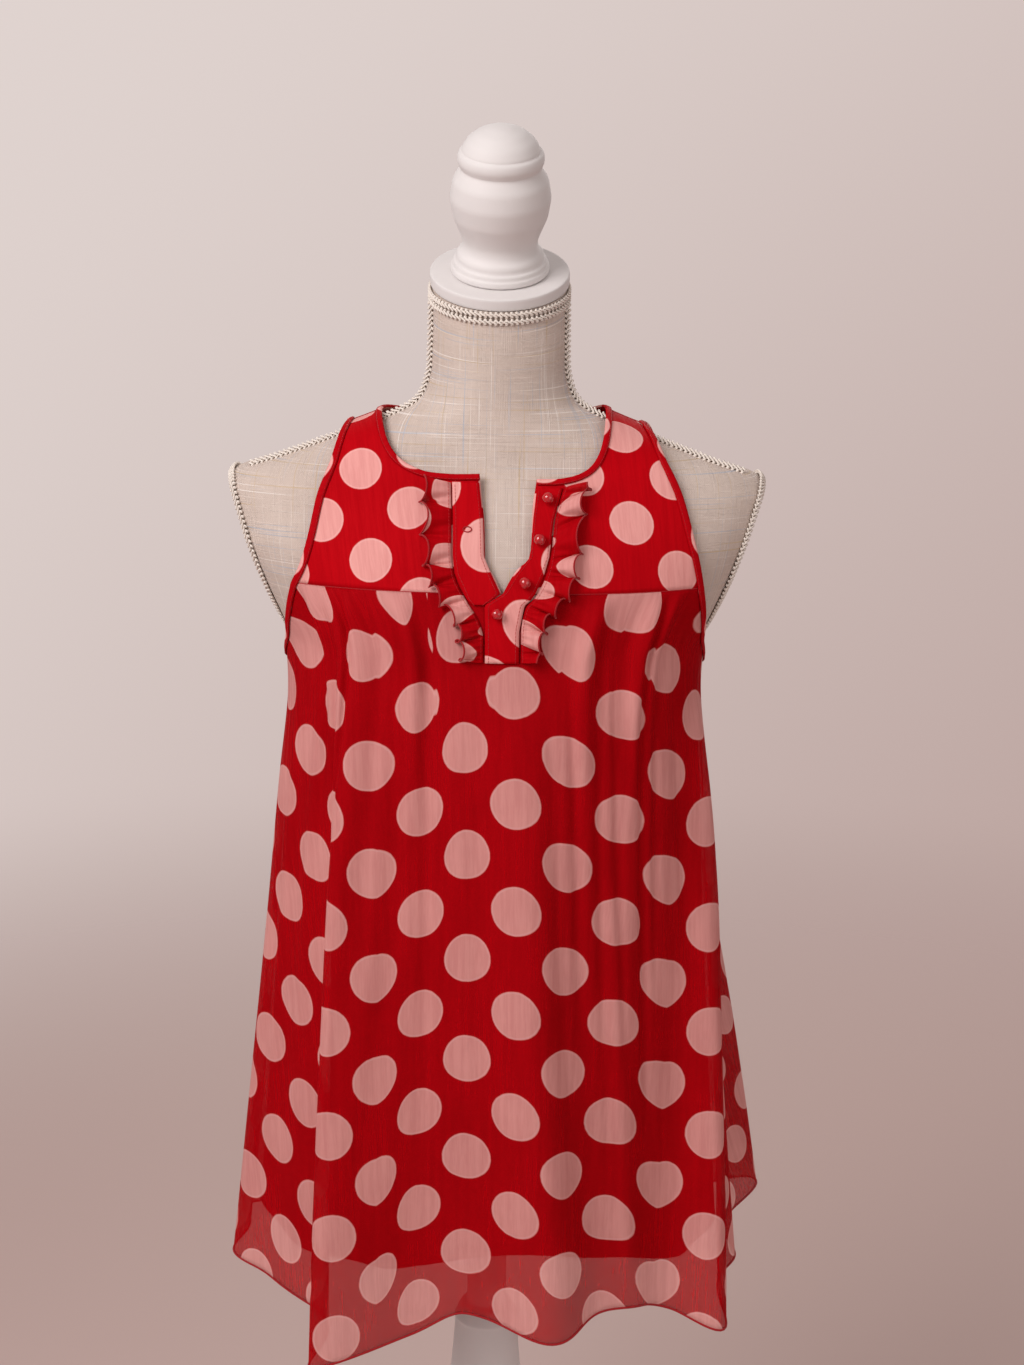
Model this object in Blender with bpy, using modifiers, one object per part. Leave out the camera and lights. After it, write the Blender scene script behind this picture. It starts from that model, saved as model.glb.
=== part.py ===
"""Sleeveless chiffon babydoll dress worn by a limbless dress form on a turned stand.

Metres, +Z up. The origin is the centre of the stand's foot, on the floor. The front faces -Y.
Angles run round the body in degrees: 0 is the centre front, 90 the side at +X, 180 the centre back.
"""
import math
from collections import namedtuple

import bmesh
import bpy
import numpy as np

# Cloth walls, and how far the pieces lie apart
CHIFFON = 0.0012
LINING = 0.0010
TRIM = 0.0010
SEAM_GAP = 0.0003
EASE = 0.0042
TRIM_LIFT = CHIFFON / 2 + SEAM_GAP + TRIM / 2
TRIM_CLEARANCE = 0.0002
BAND_CLEARANCE = 0.0006
LINING_INSET = CHIFFON / 2 + SEAM_GAP + LINING / 2

# Heights above the floor
HEM_HEIGHT = 0.505
YOKE_SEAM = 1.070
ARMHOLE_LOW = 1.005
PLATE_LOW = 1.020
SHOULDER_TIP = 1.143
NECK_BASE = 1.200
NECK_TOP = 1.2814
CAP_TOP = 1.292

# Stand
NECK_TILT = math.radians(22)
CAP_RADIUS = 0.0515
CAP_THICKNESS = 0.0095
FORM_BOTTOM = 0.650
FOOT_TOP = 0.035
TURNED_STEPS = 20

# Trims
BINDING_WIDTH = 0.0045
ARM_BINDING_WIDTH = 0.0055
BUTTON_RADIUS = 0.0042
BRAID_THICKNESS = 0.0018
BRAID_WIDTH = 0.0070
BRAID_CORD = 0.0022
NECK_BAND_HEIGHT = 0.010
NECK_BAND_THICKNESS = 0.003
NECK_BAND_COLUMNS = 32
SHOULDER_BRAID_ROWS = 20
SHOULDER_BRAID_TIP_GAP = 0.0045
SHOULDER_BRAID_BAND_GAP = 0.002
PLATE_BRAID_POINTS = 26
PLATE_BRAID_OUT = 0.80
PLATE_BRAID_SPREAD = 0.62
FINE_STEPS = 300

Section = namedtuple("Section", "z half_width front back roundness")
Place = namedtuple("Place", "x z")
Fold = namedtuple("Fold", "top hem start depth width lean")
Tuck = namedtuple("Tuck", "angle depth width length lean")
HemPoint = namedtuple("HemPoint", "angle skirt lining")
Turning = namedtuple("Turning", "z radius")
Button = namedtuple("Button", "x z")

# The form: half width at the sides, depth in front of and behind its axis
FORM_SECTIONS = [
    Section(0.650, 0.1580, 0.1000, 0.1040, 2.20),
    Section(0.700, 0.1620, 0.1030, 0.1100, 2.20),
    Section(0.780, 0.1520, 0.0980, 0.1000, 2.20),
    Section(0.860, 0.1260, 0.0880, 0.0840, 2.20),
    Section(0.920, 0.1340, 0.0960, 0.0880, 2.20),
    Section(0.980, 0.1485, 0.1090, 0.0970, 2.20),
    Section(1.000, 0.1515, 0.1085, 0.0990, 2.20),
    Section(1.020, 0.1560, 0.1070, 0.1010, 2.25),
    Section(1.040, 0.1640, 0.1040, 0.1020, 2.28),
    Section(1.060, 0.1750, 0.1000, 0.1020, 2.30),
    Section(1.080, 0.1880, 0.0940, 0.1005, 2.30),
    Section(1.100, 0.1990, 0.0870, 0.0980, 2.30),
    Section(1.130, 0.2060, 0.0740, 0.0880, 2.30),
    Section(1.143, 0.1970, 0.0670, 0.0800, 2.25),
    Section(1.155, 0.1630, 0.0620, 0.0710, 2.20),
    Section(1.170, 0.1220, 0.0580, 0.0640, 2.20),
    Section(1.182, 0.0900, 0.0550, 0.0600, 2.10),
    Section(1.190, 0.0720, 0.0530, 0.0570, 2.10),
    Section(1.197, 0.0610, 0.0520, 0.0550, 2.00),
    Section(1.207, 0.0545, 0.0510, 0.0530, 2.00),
    Section(1.225, 0.0505, 0.0490, 0.0510, 2.00),
    Section(NECK_TOP, 0.0495, 0.0430, 0.0500, 2.00),
]
FORM_RINGS = (0.650, 0.700, 0.780, 0.860, 0.920, 0.980, 1.020, 1.045, 1.070, 1.100, 1.125, 1.143,
              1.150, 1.158, 1.167, 1.176, 1.184, 1.190, 1.197, 1.207, 1.225, 1.250, NECK_TOP)
FORM_COLUMNS = 40

# The skirt between its folds; above it the cloth follows the form
SKIRT_SECTIONS = [
    Section(0.470, 0.1990, 0.1310, 0.1390, 2.10),
    Section(0.567, 0.1900, 0.1290, 0.1360, 2.10),
    Section(0.706, 0.1780, 0.1270, 0.1310, 2.10),
    Section(0.817, 0.1690, 0.1250, 0.1250, 2.15),
    Section(0.909, 0.1630, 0.1220, 0.1180, 2.20),
    Section(0.985, 0.1580, 0.1170, 0.1090, 2.25),
]

# Fold ridges: angle at the yoke and at the hem, height where each starts, and at the hem its depth,
# width in degrees and lean to one side
FOLDS = [
    Fold(-174, -170, 0.99, 0.024, 8.0, 0.010),
    Fold(-148, -146, 0.99, 0.034, 8.0, -0.014),
    Fold(-122, -124, 0.97, 0.024, 7.5, 0.008),
    Fold(-100, -103, 0.95, 0.019, 7.5, -0.007),
    Fold(-77, -74, 0.97, 0.016, 7.5, -0.004),
    Fold(-36, -24, 1.04, 0.046, 7.5, -0.034),
    Fold(4, 12, 0.99, 0.030, 9.0, 0.006),
    Fold(29, 32, 0.86, 0.009, 6.0, 0.004),
    Fold(76, 57, 0.99, 0.036, 7.5, -0.010),
    Fold(84, 82, 0.92, 0.009, 6.5, 0.000),
    Fold(104, 110, 0.84, 0.058, 8.5, 0.010),
    Fold(128, 130, 0.98, 0.024, 7.5, -0.008),
    Fold(152, 154, 0.99, 0.034, 8.0, 0.014),
]

# How a fold deepens from its start to the hem, and how far past the hem's height it goes on growing
FOLD_GROWTH = 0.7
FOLD_LIMIT = 1.1

# Tucks let into the yoke seam: each swells just below the seam and dies out down the skirt
TUCKS = [
    Tuck(-45, 0.0050, 2.6, 0.030, -0.002),
    Tuck(-39, 0.0080, 3.0, 0.036, 0.003),
    Tuck(-32, 0.0070, 2.8, 0.030, -0.003),
    Tuck(-19, 0.0085, 3.0, 0.040, 0.003),
    Tuck(22, 0.0080, 3.0, 0.036, -0.003),
    Tuck(37, 0.0080, 3.0, 0.038, 0.003),
    Tuck(44, 0.0065, 2.8, 0.030, -0.002),
    Tuck(-165, 0.0070, 3.4, 0.034, 0.004),
    Tuck(-150, 0.0080, 3.4, 0.036, -0.004),
    Tuck(-137, 0.0060, 3.2, 0.030, -0.003),
    Tuck(180, 0.0060, 3.4, 0.028, 0.000),
    Tuck(138, 0.0065, 3.2, 0.030, 0.003),
    Tuck(152, 0.0080, 3.4, 0.036, 0.004),
    Tuck(167, 0.0065, 3.2, 0.032, -0.003),
]

# Heights of the two hems round the body
HEMS = [
    HemPoint(-180, 0.512, 0.549),
    HemPoint(-155, 0.502, 0.545),
    HemPoint(-130, 0.512, 0.552),
    HemPoint(-105, 0.508, 0.548),
    HemPoint(-88, 0.520, 0.552),
    HemPoint(-66, 0.510, 0.545),
    HemPoint(-42, 0.500, 0.541),
    HemPoint(-26, 0.482, 0.541),
    HemPoint(-14, 0.498, 0.550),
    HemPoint(-4, 0.516, 0.555),
    HemPoint(11, 0.506, 0.560),
    HemPoint(30, 0.516, 0.549),
    HemPoint(46, 0.502, 0.540),
    HemPoint(58, 0.490, 0.534),
    HemPoint(72, 0.500, 0.536),
    HemPoint(90, 0.512, 0.545),
    HemPoint(108, 0.522, 0.551),
    HemPoint(130, 0.508, 0.545),
    HemPoint(155, 0.520, 0.552),
    HemPoint(180, 0.512, 0.549),
]

# The lining: waves round its hem, and how it draws in from the skirt on the way down
LINING_WAVES = 11
LINING_WAVE_DEPTH = 0.007
LINING_FALL = 0.0008
LINING_FALL_HEIGHT = 0.008
LINING_DRAW = 0.0040
LINING_GROWTH = 1.5

# Rows and columns of the cut pieces
ROW_SHARES = (0.0, 0.010, 0.030, 0.060, 0.100, 0.155, 0.23, 0.33, 0.45, 0.58, 0.72, 0.86, 1.0)
LINING_SHARES = (0.0, 0.011, 0.032, 0.065, 0.108, 0.167, 0.30, 0.50, 0.75, 1.0)
YOKE_RISES = (0.0, 0.11, 0.22, 0.33, 0.44, 0.54, 0.64, 0.73, 0.81, 0.88, 0.95, 1.0)
FRONT_NECK_SHARES = 1 - (1 - np.linspace(0.0, 1.0, 9)) ** 1.6
BACK_NECK_SHARES = 0.5 - 0.5 * np.cos(np.linspace(0.0, math.pi, 13))
SEAM_COLUMN = 1.0
NECK_SHARE = 0.72
ARMHOLE_ROUNDNESS = 1.35

# Edges of the yoke, each as a list of places; the shoulder end of each lies on the shoulder ridge
SHOULDER_INNER_LEFT = -0.086
SHOULDER_OUTER_LEFT = -0.112
SHOULDER_INNER_RIGHT = 0.080
SHOULDER_OUTER_RIGHT = 0.110
NECK_RISE = 0.25
NECKLINE_LEFT = [
    Place(-0.0120, 1.1510), Place(-0.0300, 1.1505), Place(-0.0480, 1.1515), Place(-0.0590, 1.1545),
    Place(-0.0700, 1.1605), Place(-0.0780, 1.1700),
]
NECKLINE_RIGHT = [
    Place(0.0290, 1.1480), Place(0.0410, 1.1480), Place(0.0530, 1.1495), Place(0.0640, 1.1535),
    Place(0.0710, 1.1600), Place(0.0760, 1.1710),
]
NECKLINE_BACK = [
    Place(-0.0740, 1.1855), Place(-0.0450, 1.1810), Place(0.0, 1.1790), Place(0.0420, 1.1810),
    Place(0.0690, 1.1860),
]
OPENING_LEFT = [
    Place(0.0052, YOKE_SEAM), Place(0.0000, 1.0810), Place(-0.0070, 1.0940), Place(-0.0080, 1.1180),
    Place(-0.0100, 1.1340), Place(-0.0120, 1.1510),
]
OPENING_RIGHT = [
    Place(0.0058, YOKE_SEAM), Place(0.0160, 1.0870), Place(0.0240, 1.0940), Place(0.0258, 1.1050),
    Place(0.0262, 1.1250), Place(0.0290, 1.1480),
]
ARMHOLE_LEFT = [
    Place(-0.1480, YOKE_SEAM), Place(-0.1410, 1.0850), Place(-0.1350, 1.1060), Place(-0.1290, 1.1340),
    Place(-0.1200, 1.1580),
]
ARMHOLE_RIGHT = [
    Place(0.1520, YOKE_SEAM), Place(0.1490, 1.0850), Place(0.1420, 1.1120), Place(0.1340, 1.1380),
    Place(0.1220, 1.1620),
]

# Placket strips and ruffles: for each height the two edges, as x
Strip = namedtuple("Strip", "z inner outer")
PLACKET_LEFT = [
    Strip(1.0620, -0.0075, -0.0150), Strip(1.0660, -0.0010, -0.0195), Strip(1.0700, 0.0044, -0.0220),
    Strip(1.0830, -0.0022, -0.0285), Strip(1.0950, -0.0078, -0.0300), Strip(1.1200, -0.0090, -0.0305),
    Strip(1.1450, -0.0122, -0.0315),
]
PLACKET_RIGHT = [
    Strip(1.0215, -0.0060, 0.0180), Strip(1.0450, -0.0062, 0.0180), Strip(1.0620, -0.0068, 0.0215),
    Strip(1.0660, -0.0003, 0.0260), Strip(1.0700, 0.0065, 0.0290), Strip(1.0830, 0.0145, 0.0350),
    Strip(1.0950, 0.0250, 0.0385), Strip(1.1200, 0.0268, 0.0415), Strip(1.1420, 0.0292, 0.0475),
]
Ruffle = namedtuple("Ruffle", "sewn_x sewn_z free_x free_z")
RUFFLE_LEFT = [
    Ruffle(-0.0325, 1.1445, -0.0560, 1.1445), Ruffle(-0.0315, 1.1200, -0.0545, 1.1200),
    Ruffle(-0.0310, 1.0950, -0.0525, 1.0930), Ruffle(-0.0280, 1.0800, -0.0480, 1.0760),
    Ruffle(-0.0200, 1.0650, -0.0400, 1.0620), Ruffle(-0.0110, 1.0510, -0.0290, 1.0480),
    Ruffle(-0.0075, 1.0380, -0.0270, 1.0360), Ruffle(-0.0075, 1.0220, -0.0240, 1.0210),
]
RUFFLE_RIGHT = [
    Ruffle(0.0485, 1.1420, 0.0700, 1.1470), Ruffle(0.0425, 1.1200, 0.0660, 1.1290),
    Ruffle(0.0398, 1.0950, 0.0630, 1.0980), Ruffle(0.0365, 1.0820, 0.0610, 1.0790),
    Ruffle(0.0300, 1.0690, 0.0525, 1.0630), Ruffle(0.0220, 1.0590, 0.0420, 1.0520),
    Ruffle(0.0195, 1.0430, 0.0370, 1.0385), Ruffle(0.0195, 1.0220, 0.0340, 1.0220),
]
RUFFLE_WAVES = 8
RUFFLE_HEIGHT = 0.0078
RUFFLE_SWAY = 0.0010
RUFFLE_RISE = 0.8
RUFFLE_PHASE_LEFT = 0.4
RUFFLE_PHASE_RIGHT = 2.0
RUFFLE_PITCH_DRIFT = (0.7, 5.0)
RUFFLE_HEIGHT_DRIFT = (0.15, 9.0)
RUFFLE_ROWS = 45
RUFFLE_COLUMNS = 4

BUTTONS = [Button(0.0370, 1.1340), Button(0.0315, 1.1060), Button(0.0215, 1.0770), Button(0.0020, 1.0560)]

# Turned pieces, from the top down; the finial's and the cap's heights are above the cap's top
FINIAL_TURNING = [
    Turning(0.1095, 0.0000), Turning(0.1085, 0.0080), Turning(0.1050, 0.0170), Turning(0.0990, 0.0245),
    Turning(0.0930, 0.0280), Turning(0.0915, 0.0280), Turning(0.0900, 0.0305), Turning(0.0850, 0.0315),
    Turning(0.0810, 0.0300), Turning(0.0790, 0.0290), Turning(0.0700, 0.0345), Turning(0.0570, 0.0367),
    Turning(0.0430, 0.0345), Turning(0.0310, 0.0295), Turning(0.0240, 0.0272), Turning(0.0180, 0.0282),
    Turning(0.0145, 0.0320), Turning(0.0100, 0.0322), Turning(0.0090, 0.0345), Turning(0.0060, 0.0348),
    Turning(0.0050, 0.0364), Turning(SEAM_GAP, 0.0364), Turning(SEAM_GAP, 0.0000),
]
CAP_TURNING = [
    Turning(0.0, 0.0000), Turning(0.0, CAP_RADIUS - 0.001), Turning(-0.0010, CAP_RADIUS),
    Turning(-CAP_THICKNESS + 0.001, CAP_RADIUS), Turning(-CAP_THICKNESS, CAP_RADIUS - 0.001),
    Turning(-CAP_THICKNESS, 0.0000),
]
POLE_TURNING = [
    Turning(FORM_BOTTOM - SEAM_GAP, 0.0000), Turning(FORM_BOTTOM - SEAM_GAP, 0.0160),
    Turning(0.4520, 0.0160), Turning(0.4490, 0.0215), Turning(0.4430, 0.0240), Turning(0.4380, 0.0262),
    Turning(0.4360, 0.0256), Turning(0.4120, 0.0270), Turning(0.3890, 0.0290), Turning(0.3300, 0.0330),
    Turning(0.2500, 0.0345), Turning(0.1600, 0.0300), Turning(0.1000, 0.0275), Turning(0.0650, 0.0330),
    Turning(0.0450, 0.0430), Turning(FOOT_TOP + SEAM_GAP, 0.0450), Turning(FOOT_TOP + SEAM_GAP, 0.0000),
]
FOOT_TURNING = [
    Turning(FOOT_TOP, 0.0000), Turning(FOOT_TOP, 0.0550), Turning(0.0310, 0.0750), Turning(0.0220, 0.1150),
    Turning(0.0170, 0.1430), Turning(0.0120, 0.1500), Turning(0.0, 0.1500), Turning(0.0, 0.0000),
]

# Finishes: base colour, roughness, metallic
Finish = namedtuple("Finish", "colour roughness metallic")
FINISHES = {
    "red_chiffon": Finish((0.46, 0.003, 0.008), 0.62, 0.0),
    "red_lining": Finish((0.36, 0.002, 0.007), 0.55, 0.0),
    "red_button": Finish((0.50, 0.002, 0.006), 0.20, 0.0),
    "natural_linen": Finish((0.60, 0.50, 0.41), 0.85, 0.0),
    "cream_braid": Finish((0.62, 0.55, 0.46), 0.70, 0.0),
    "white_paint": Finish((0.76, 0.73, 0.72), 0.35, 0.0),
}

for old in list(bpy.data.objects):
    bpy.data.objects.remove(old, do_unlink=True)
dress_collection = bpy.data.collections.new("babydoll_dress_on_form")
bpy.context.scene.collection.children.link(dress_collection)


def finish_material(name):
    """Plain material of one finish."""
    material = bpy.data.materials.get(name)
    if material is None:
        finish = FINISHES[name]
        material = bpy.data.materials.new(name)
        material.use_nodes = True
        shader = material.node_tree.nodes["Principled BSDF"]
        shader.inputs["Base Color"].default_value = (*finish.colour, 1.0)
        shader.inputs["Roughness"].default_value = finish.roughness
        shader.inputs["Metallic"].default_value = finish.metallic
    return material


def add_object(name, data, finish):
    """New object in the dress's collection, with its material."""
    piece = bpy.data.objects.new(name, data)
    dress_collection.objects.link(piece)
    data.materials.append(finish_material(finish))
    return piece


def eased(knots, values, at):
    """Smooth curve through values at rising knots, without overshoot."""
    knots = np.asarray(knots, float)
    values = np.asarray(values, float)
    steps = np.diff(values) / np.diff(knots)
    slopes = np.zeros_like(values)
    slopes[0] = steps[0]
    slopes[-1] = steps[-1]
    before, after = steps[:-1], steps[1:]
    rising = before * after > 0
    slopes[1:-1][rising] = 2 * (before * after)[rising] / (before + after)[rising]
    at = np.clip(at, knots[0], knots[-1])
    low = np.clip(np.searchsorted(knots, at, side="right") - 1, 0, len(knots) - 2)
    gap = knots[low + 1] - knots[low]
    t = (at - knots[low]) / gap
    return (values[low] * (1 + 2 * t) * (1 - t) ** 2 + slopes[low] * gap * t * (1 - t) ** 2
            + values[low + 1] * t * t * (3 - 2 * t) - slopes[low + 1] * gap * t * t * (1 - t))


def column(rows, name, at, key="z"):
    """One column of a table at a value of its key column."""
    return eased([getattr(row, key) for row in rows], [getattr(row, name) for row in rows], at)


def cloth_sections():
    """The cloth's own rings: eased off the form at the top, the flaring skirt below."""
    worn = []
    for row in FORM_SECTIONS:
        if row.z >= PLATE_LOW:
            lift = EASE if row.z >= SHOULDER_TIP else 0.0
            worn.append(Section(row.z + lift, row.half_width + EASE, row.front + EASE,
                                row.back + EASE, row.roundness))
    return SKIRT_SECTIONS + worn


CLOTH_SECTIONS = cloth_sections()


def signed_power(value, power):
    return np.sign(value) * np.abs(value) ** power


def ring(rows, angle, z):
    """Points of the rings in a table, at angles and heights of the same shape."""
    angle, z = np.broadcast_arrays(np.asarray(angle, float), np.asarray(z, float))
    across = np.sin(np.radians(angle))
    along = np.cos(np.radians(angle))
    power = 2 / column(rows, "roundness", z)
    depth = np.where(along > 0, column(rows, "front", z), column(rows, "back", z))
    x = column(rows, "half_width", z) * signed_power(across, power)
    y = -depth * signed_power(along, power)
    return np.stack([x, y, z], axis=-1)


def angle_of(rows, x, z, back=False):
    """Angle at which the ring at height z passes x, in front or behind."""
    share = np.clip(np.abs(x) / column(rows, "half_width", z), 0.0, 1.0)
    angle = np.degrees(np.arcsin(share ** (column(rows, "roundness", z) / 2)))
    angle = np.where(back, 180.0 - angle, angle)
    return np.where(np.asarray(x) < 0, -angle, angle)


def unit(vectors):
    return vectors / np.linalg.norm(vectors, axis=-1, keepdims=True)


def outward(rows, angle, z):
    """Direction straight out of a ring surface."""
    turn = 0.5
    rise = 0.001
    round_way = ring(rows, angle + turn, z) - ring(rows, angle - turn, z)
    up_way = ring(rows, angle, z + rise) - ring(rows, angle, z - rise)
    return unit(np.cross(round_way, up_way))


def ridge_height(x):
    """Height of the cloth on the shoulder ridge at x, carried on straight across the neck."""
    heights = np.linspace(SHOULDER_TIP + EASE, NECK_TOP, 200)
    widths = column(CLOTH_SECTIONS, "half_width", heights)
    outside = np.maximum(np.abs(x), SHOULDER_INNER_RIGHT)
    inside = outside - np.abs(x)
    return np.interp(outside, widths[::-1], heights[::-1]) + NECK_RISE * inside


def ridge_place(x):
    return Place(x, float(ridge_height(x)))


def rise_of(x, z):
    """Share of the way from the yoke seam to the shoulder ridge, easing at the ridge."""
    share = (z - YOKE_SEAM) / (ridge_height(x) - YOKE_SEAM)
    return np.arcsin(np.clip(share, 0.0, 1.0)) / (math.pi / 2)


def along_edge(places, share):
    """(x, rise) at shares of an edge's length."""
    x = np.array([place.x for place in places])
    z = np.array([place.z for place in places])
    length = np.concatenate([[0.0], np.cumsum(np.hypot(np.diff(x), np.diff(z)))])
    at_x = eased(length / length[-1], x, share)
    at_z = eased(length / length[-1], z, share)
    return np.stack([at_x, rise_of(at_x, at_z)], axis=-1)


def climb_edge(places):
    """(x, rise) up an edge that only climbs, at the yoke's rows."""
    x = np.array([place.x for place in places])
    rise = rise_of(x, np.array([place.z for place in places]))
    at_rise = rise[-1] * np.array(YOKE_RISES)
    return np.stack([eased(rise, x, at_rise), at_rise], axis=-1)


def shoulder_line(start_x, end_x, share):
    x = start_x + (end_x - start_x) * share
    return np.stack([x, np.ones_like(x)], axis=-1)


def worn_point(x, rise, back=False):
    """Middle of the yoke's cloth at x and a rise, half a seam gap off the shoulder seam."""
    z = YOKE_SEAM + (ridge_height(x) - YOKE_SEAM) * np.sin(rise * math.pi / 2)
    point = ring(CLOTH_SECTIONS, angle_of(CLOTH_SECTIONS, x, z, back), z)
    point[..., 1] += SEAM_GAP / 2 if back else -SEAM_GAP / 2
    return point


def yoke_grid(top, bottom, start, end, shares, back=False):
    """Grid between four edges given as (x, rise): bottom and top run from start to end."""
    v = np.array(YOKE_RISES)[:, None, None]
    u = np.asarray(shares)[None, :, None]
    start = start[:, None, :]
    end = end[:, None, :]
    blend = (1 - v) * bottom[None] + v * top[None] + (1 - u) * start + u * end
    corners = ((1 - v) * ((1 - u) * bottom[0] + u * bottom[-1])
               + v * ((1 - u) * top[0] + u * top[-1]))
    flat = blend - corners
    grid = worn_point(flat[..., 0], flat[..., 1], back)
    grid[0, :, 2] += SEAM_GAP / 2
    return grid


def grid_mesh(name, grid, wrap=False):
    """Open surface through a grid of points; wrap joins its last column to its first."""
    rows, columns = grid.shape[:2]
    last = columns if wrap else columns - 1
    faces = []
    for row in range(rows - 1):
        for col in range(last):
            after = (col + 1) % columns
            faces.append((row * columns + col, row * columns + after,
                          (row + 1) * columns + after, (row + 1) * columns + col))
    mesh = bpy.data.meshes.new(name)
    mesh.from_pydata(grid.reshape(-1, 3).tolist(), [], faces)
    mesh.update()
    return mesh


def shell(name, grid, thickness, finish, wrap=False):
    """Wall of cloth or braid about a grid of middle points."""
    mesh = grid_mesh(name, grid, wrap)
    mesh.shade_smooth()
    piece = add_object(name, mesh, finish)
    wall = piece.modifiers.new("wall", "SOLIDIFY")
    wall.thickness = thickness
    wall.offset = 0.0
    return piece


def front_yoke(name, neckline, opening, armhole, shoulder_inner, shoulder_outer):
    """One front yoke, from the opening to the armhole."""
    shoulder_shares = np.linspace(0.0, 1.0, 4)[1:]
    neck_columns = np.linspace(0.0, NECK_SHARE, len(FRONT_NECK_SHARES))
    shares = np.concatenate([neck_columns, NECK_SHARE + (1 - NECK_SHARE) * shoulder_shares])
    top = np.concatenate([
        along_edge(neckline + [ridge_place(shoulder_inner)], FRONT_NECK_SHARES),
        shoulder_line(shoulder_inner, shoulder_outer, shoulder_shares),
    ])
    seam_x = opening[0].x + (armhole[0].x - opening[0].x) * shares
    bottom = np.stack([seam_x, np.zeros_like(seam_x)], axis=-1)
    start = climb_edge(opening)
    end = climb_edge(armhole + [ridge_place(shoulder_outer)])
    return shell(name, yoke_grid(top, bottom, start, end, shares), CHIFFON, "red_chiffon")


def back_yoke():
    """Back yoke, from armhole to armhole."""
    shares = np.concatenate([np.linspace(0.0, 0.16, 4), np.linspace(0.16, 0.84, 13)[1:],
                             np.linspace(0.84, 1.0, 4)[1:]])
    neckline = [ridge_place(SHOULDER_INNER_LEFT)] + NECKLINE_BACK + [ridge_place(SHOULDER_INNER_RIGHT)]
    top = np.concatenate([
        shoulder_line(SHOULDER_OUTER_LEFT, SHOULDER_INNER_LEFT, np.linspace(0.0, 1.0, 4)),
        along_edge(neckline, BACK_NECK_SHARES[1:]),
        shoulder_line(SHOULDER_INNER_RIGHT, SHOULDER_OUTER_RIGHT, np.linspace(0.0, 1.0, 4)[1:]),
    ])
    seam_x = ARMHOLE_LEFT[0].x + (ARMHOLE_RIGHT[0].x - ARMHOLE_LEFT[0].x) * shares
    bottom = np.stack([seam_x, np.zeros_like(seam_x)], axis=-1)
    start = climb_edge(ARMHOLE_LEFT + [ridge_place(SHOULDER_OUTER_LEFT)])
    end = climb_edge(ARMHOLE_RIGHT + [ridge_place(SHOULDER_OUTER_RIGHT)])
    return shell("back_yoke", yoke_grid(top, bottom, start, end, shares, back=True),
                 CHIFFON, "red_chiffon")


def yoke_corner(armhole):
    """Angle at which the yoke seam ends at an armhole."""
    return float(np.abs(angle_of(CLOTH_SECTIONS, armhole[0].x, YOKE_SEAM)))


CORNER_LEFT = yoke_corner(ARMHOLE_LEFT)
CORNER_RIGHT = yoke_corner(ARMHOLE_RIGHT)


def skirt_top(angle):
    """Height of the skirt's top edge: the yoke seam, dipping round each armhole."""
    from_side = np.abs(90.0 - np.abs(angle))
    corner = 90.0 - np.where(angle < 0, CORNER_LEFT, CORNER_RIGHT)
    share = np.clip(from_side / corner, 0.0, 1.0)
    return YOKE_SEAM - SEAM_GAP / 2 - (YOKE_SEAM - ARMHOLE_LOW) * (1 - share ** ARMHOLE_ROUNDNESS)


def wrapped(angle):
    return (angle + 180.0) % 360.0 - 180.0


def fold_shift(angle, z):
    """How far folds and tucks carry the cloth outward and sideways."""
    lift = np.zeros_like(angle)
    slide = np.zeros_like(angle)
    below = np.clip(YOKE_SEAM - z, 0.0, None)
    drop = below / (YOKE_SEAM - HEM_HEIGHT)
    for fold in FOLDS:
        grown = np.clip((fold.start - z) / (fold.start - HEM_HEIGHT), 0.0, FOLD_LIMIT)
        centre = fold.top + (fold.hem - fold.top) * drop
        bump = grown ** FOLD_GROWTH * np.exp(-(wrapped(angle - centre) / fold.width) ** 2)
        lift += fold.depth * bump
        slide += fold.lean * bump
    for tuck in TUCKS:
        swell = below / tuck.length * np.exp(1 - below / tuck.length)
        bump = swell * np.exp(-(wrapped(angle - tuck.angle) / tuck.width) ** 2)
        lift += tuck.depth * bump
        slide += tuck.lean * bump
    return lift, slide


def skirt_point(angle, z):
    """Middle of the skirt's cloth."""
    angle, z = np.broadcast_arrays(np.asarray(angle, float), np.asarray(z, float))
    turn = 0.5
    tangent = ring(CLOTH_SECTIONS, angle + turn, z) - ring(CLOTH_SECTIONS, angle - turn, z)
    tangent = unit(tangent)
    out = np.stack([tangent[..., 1], -tangent[..., 0], np.zeros_like(z)], axis=-1)
    lift, slide = fold_shift(angle, z)
    return ring(CLOTH_SECTIONS, angle, z) + out * lift[..., None] + tangent * slide[..., None]


def lining_point(angle, z):
    """Middle of the lining's cloth, inside the skirt's deepest valleys."""
    angle, z = np.broadcast_arrays(np.asarray(angle, float), np.asarray(z, float))
    drop = np.clip((YOKE_SEAM - z) / (YOKE_SEAM - HEM_HEIGHT), 0.0, 1.0)
    wave = 0.5 + 0.5 * np.cos(np.radians(angle * LINING_WAVES))
    fall = 1 - np.exp(-np.clip(skirt_top(angle) - z, 0.0, None) / LINING_FALL_HEIGHT)
    draw = (LINING_DRAW + LINING_WAVE_DEPTH * wave) * drop ** LINING_GROWTH
    inset = LINING_INSET + LINING_FALL * fall + draw
    out = outward(CLOTH_SECTIONS, angle, z)
    out[..., 2] = 0.0
    return ring(CLOTH_SECTIONS, angle, z) - unit(out) * inset[..., None]


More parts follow.
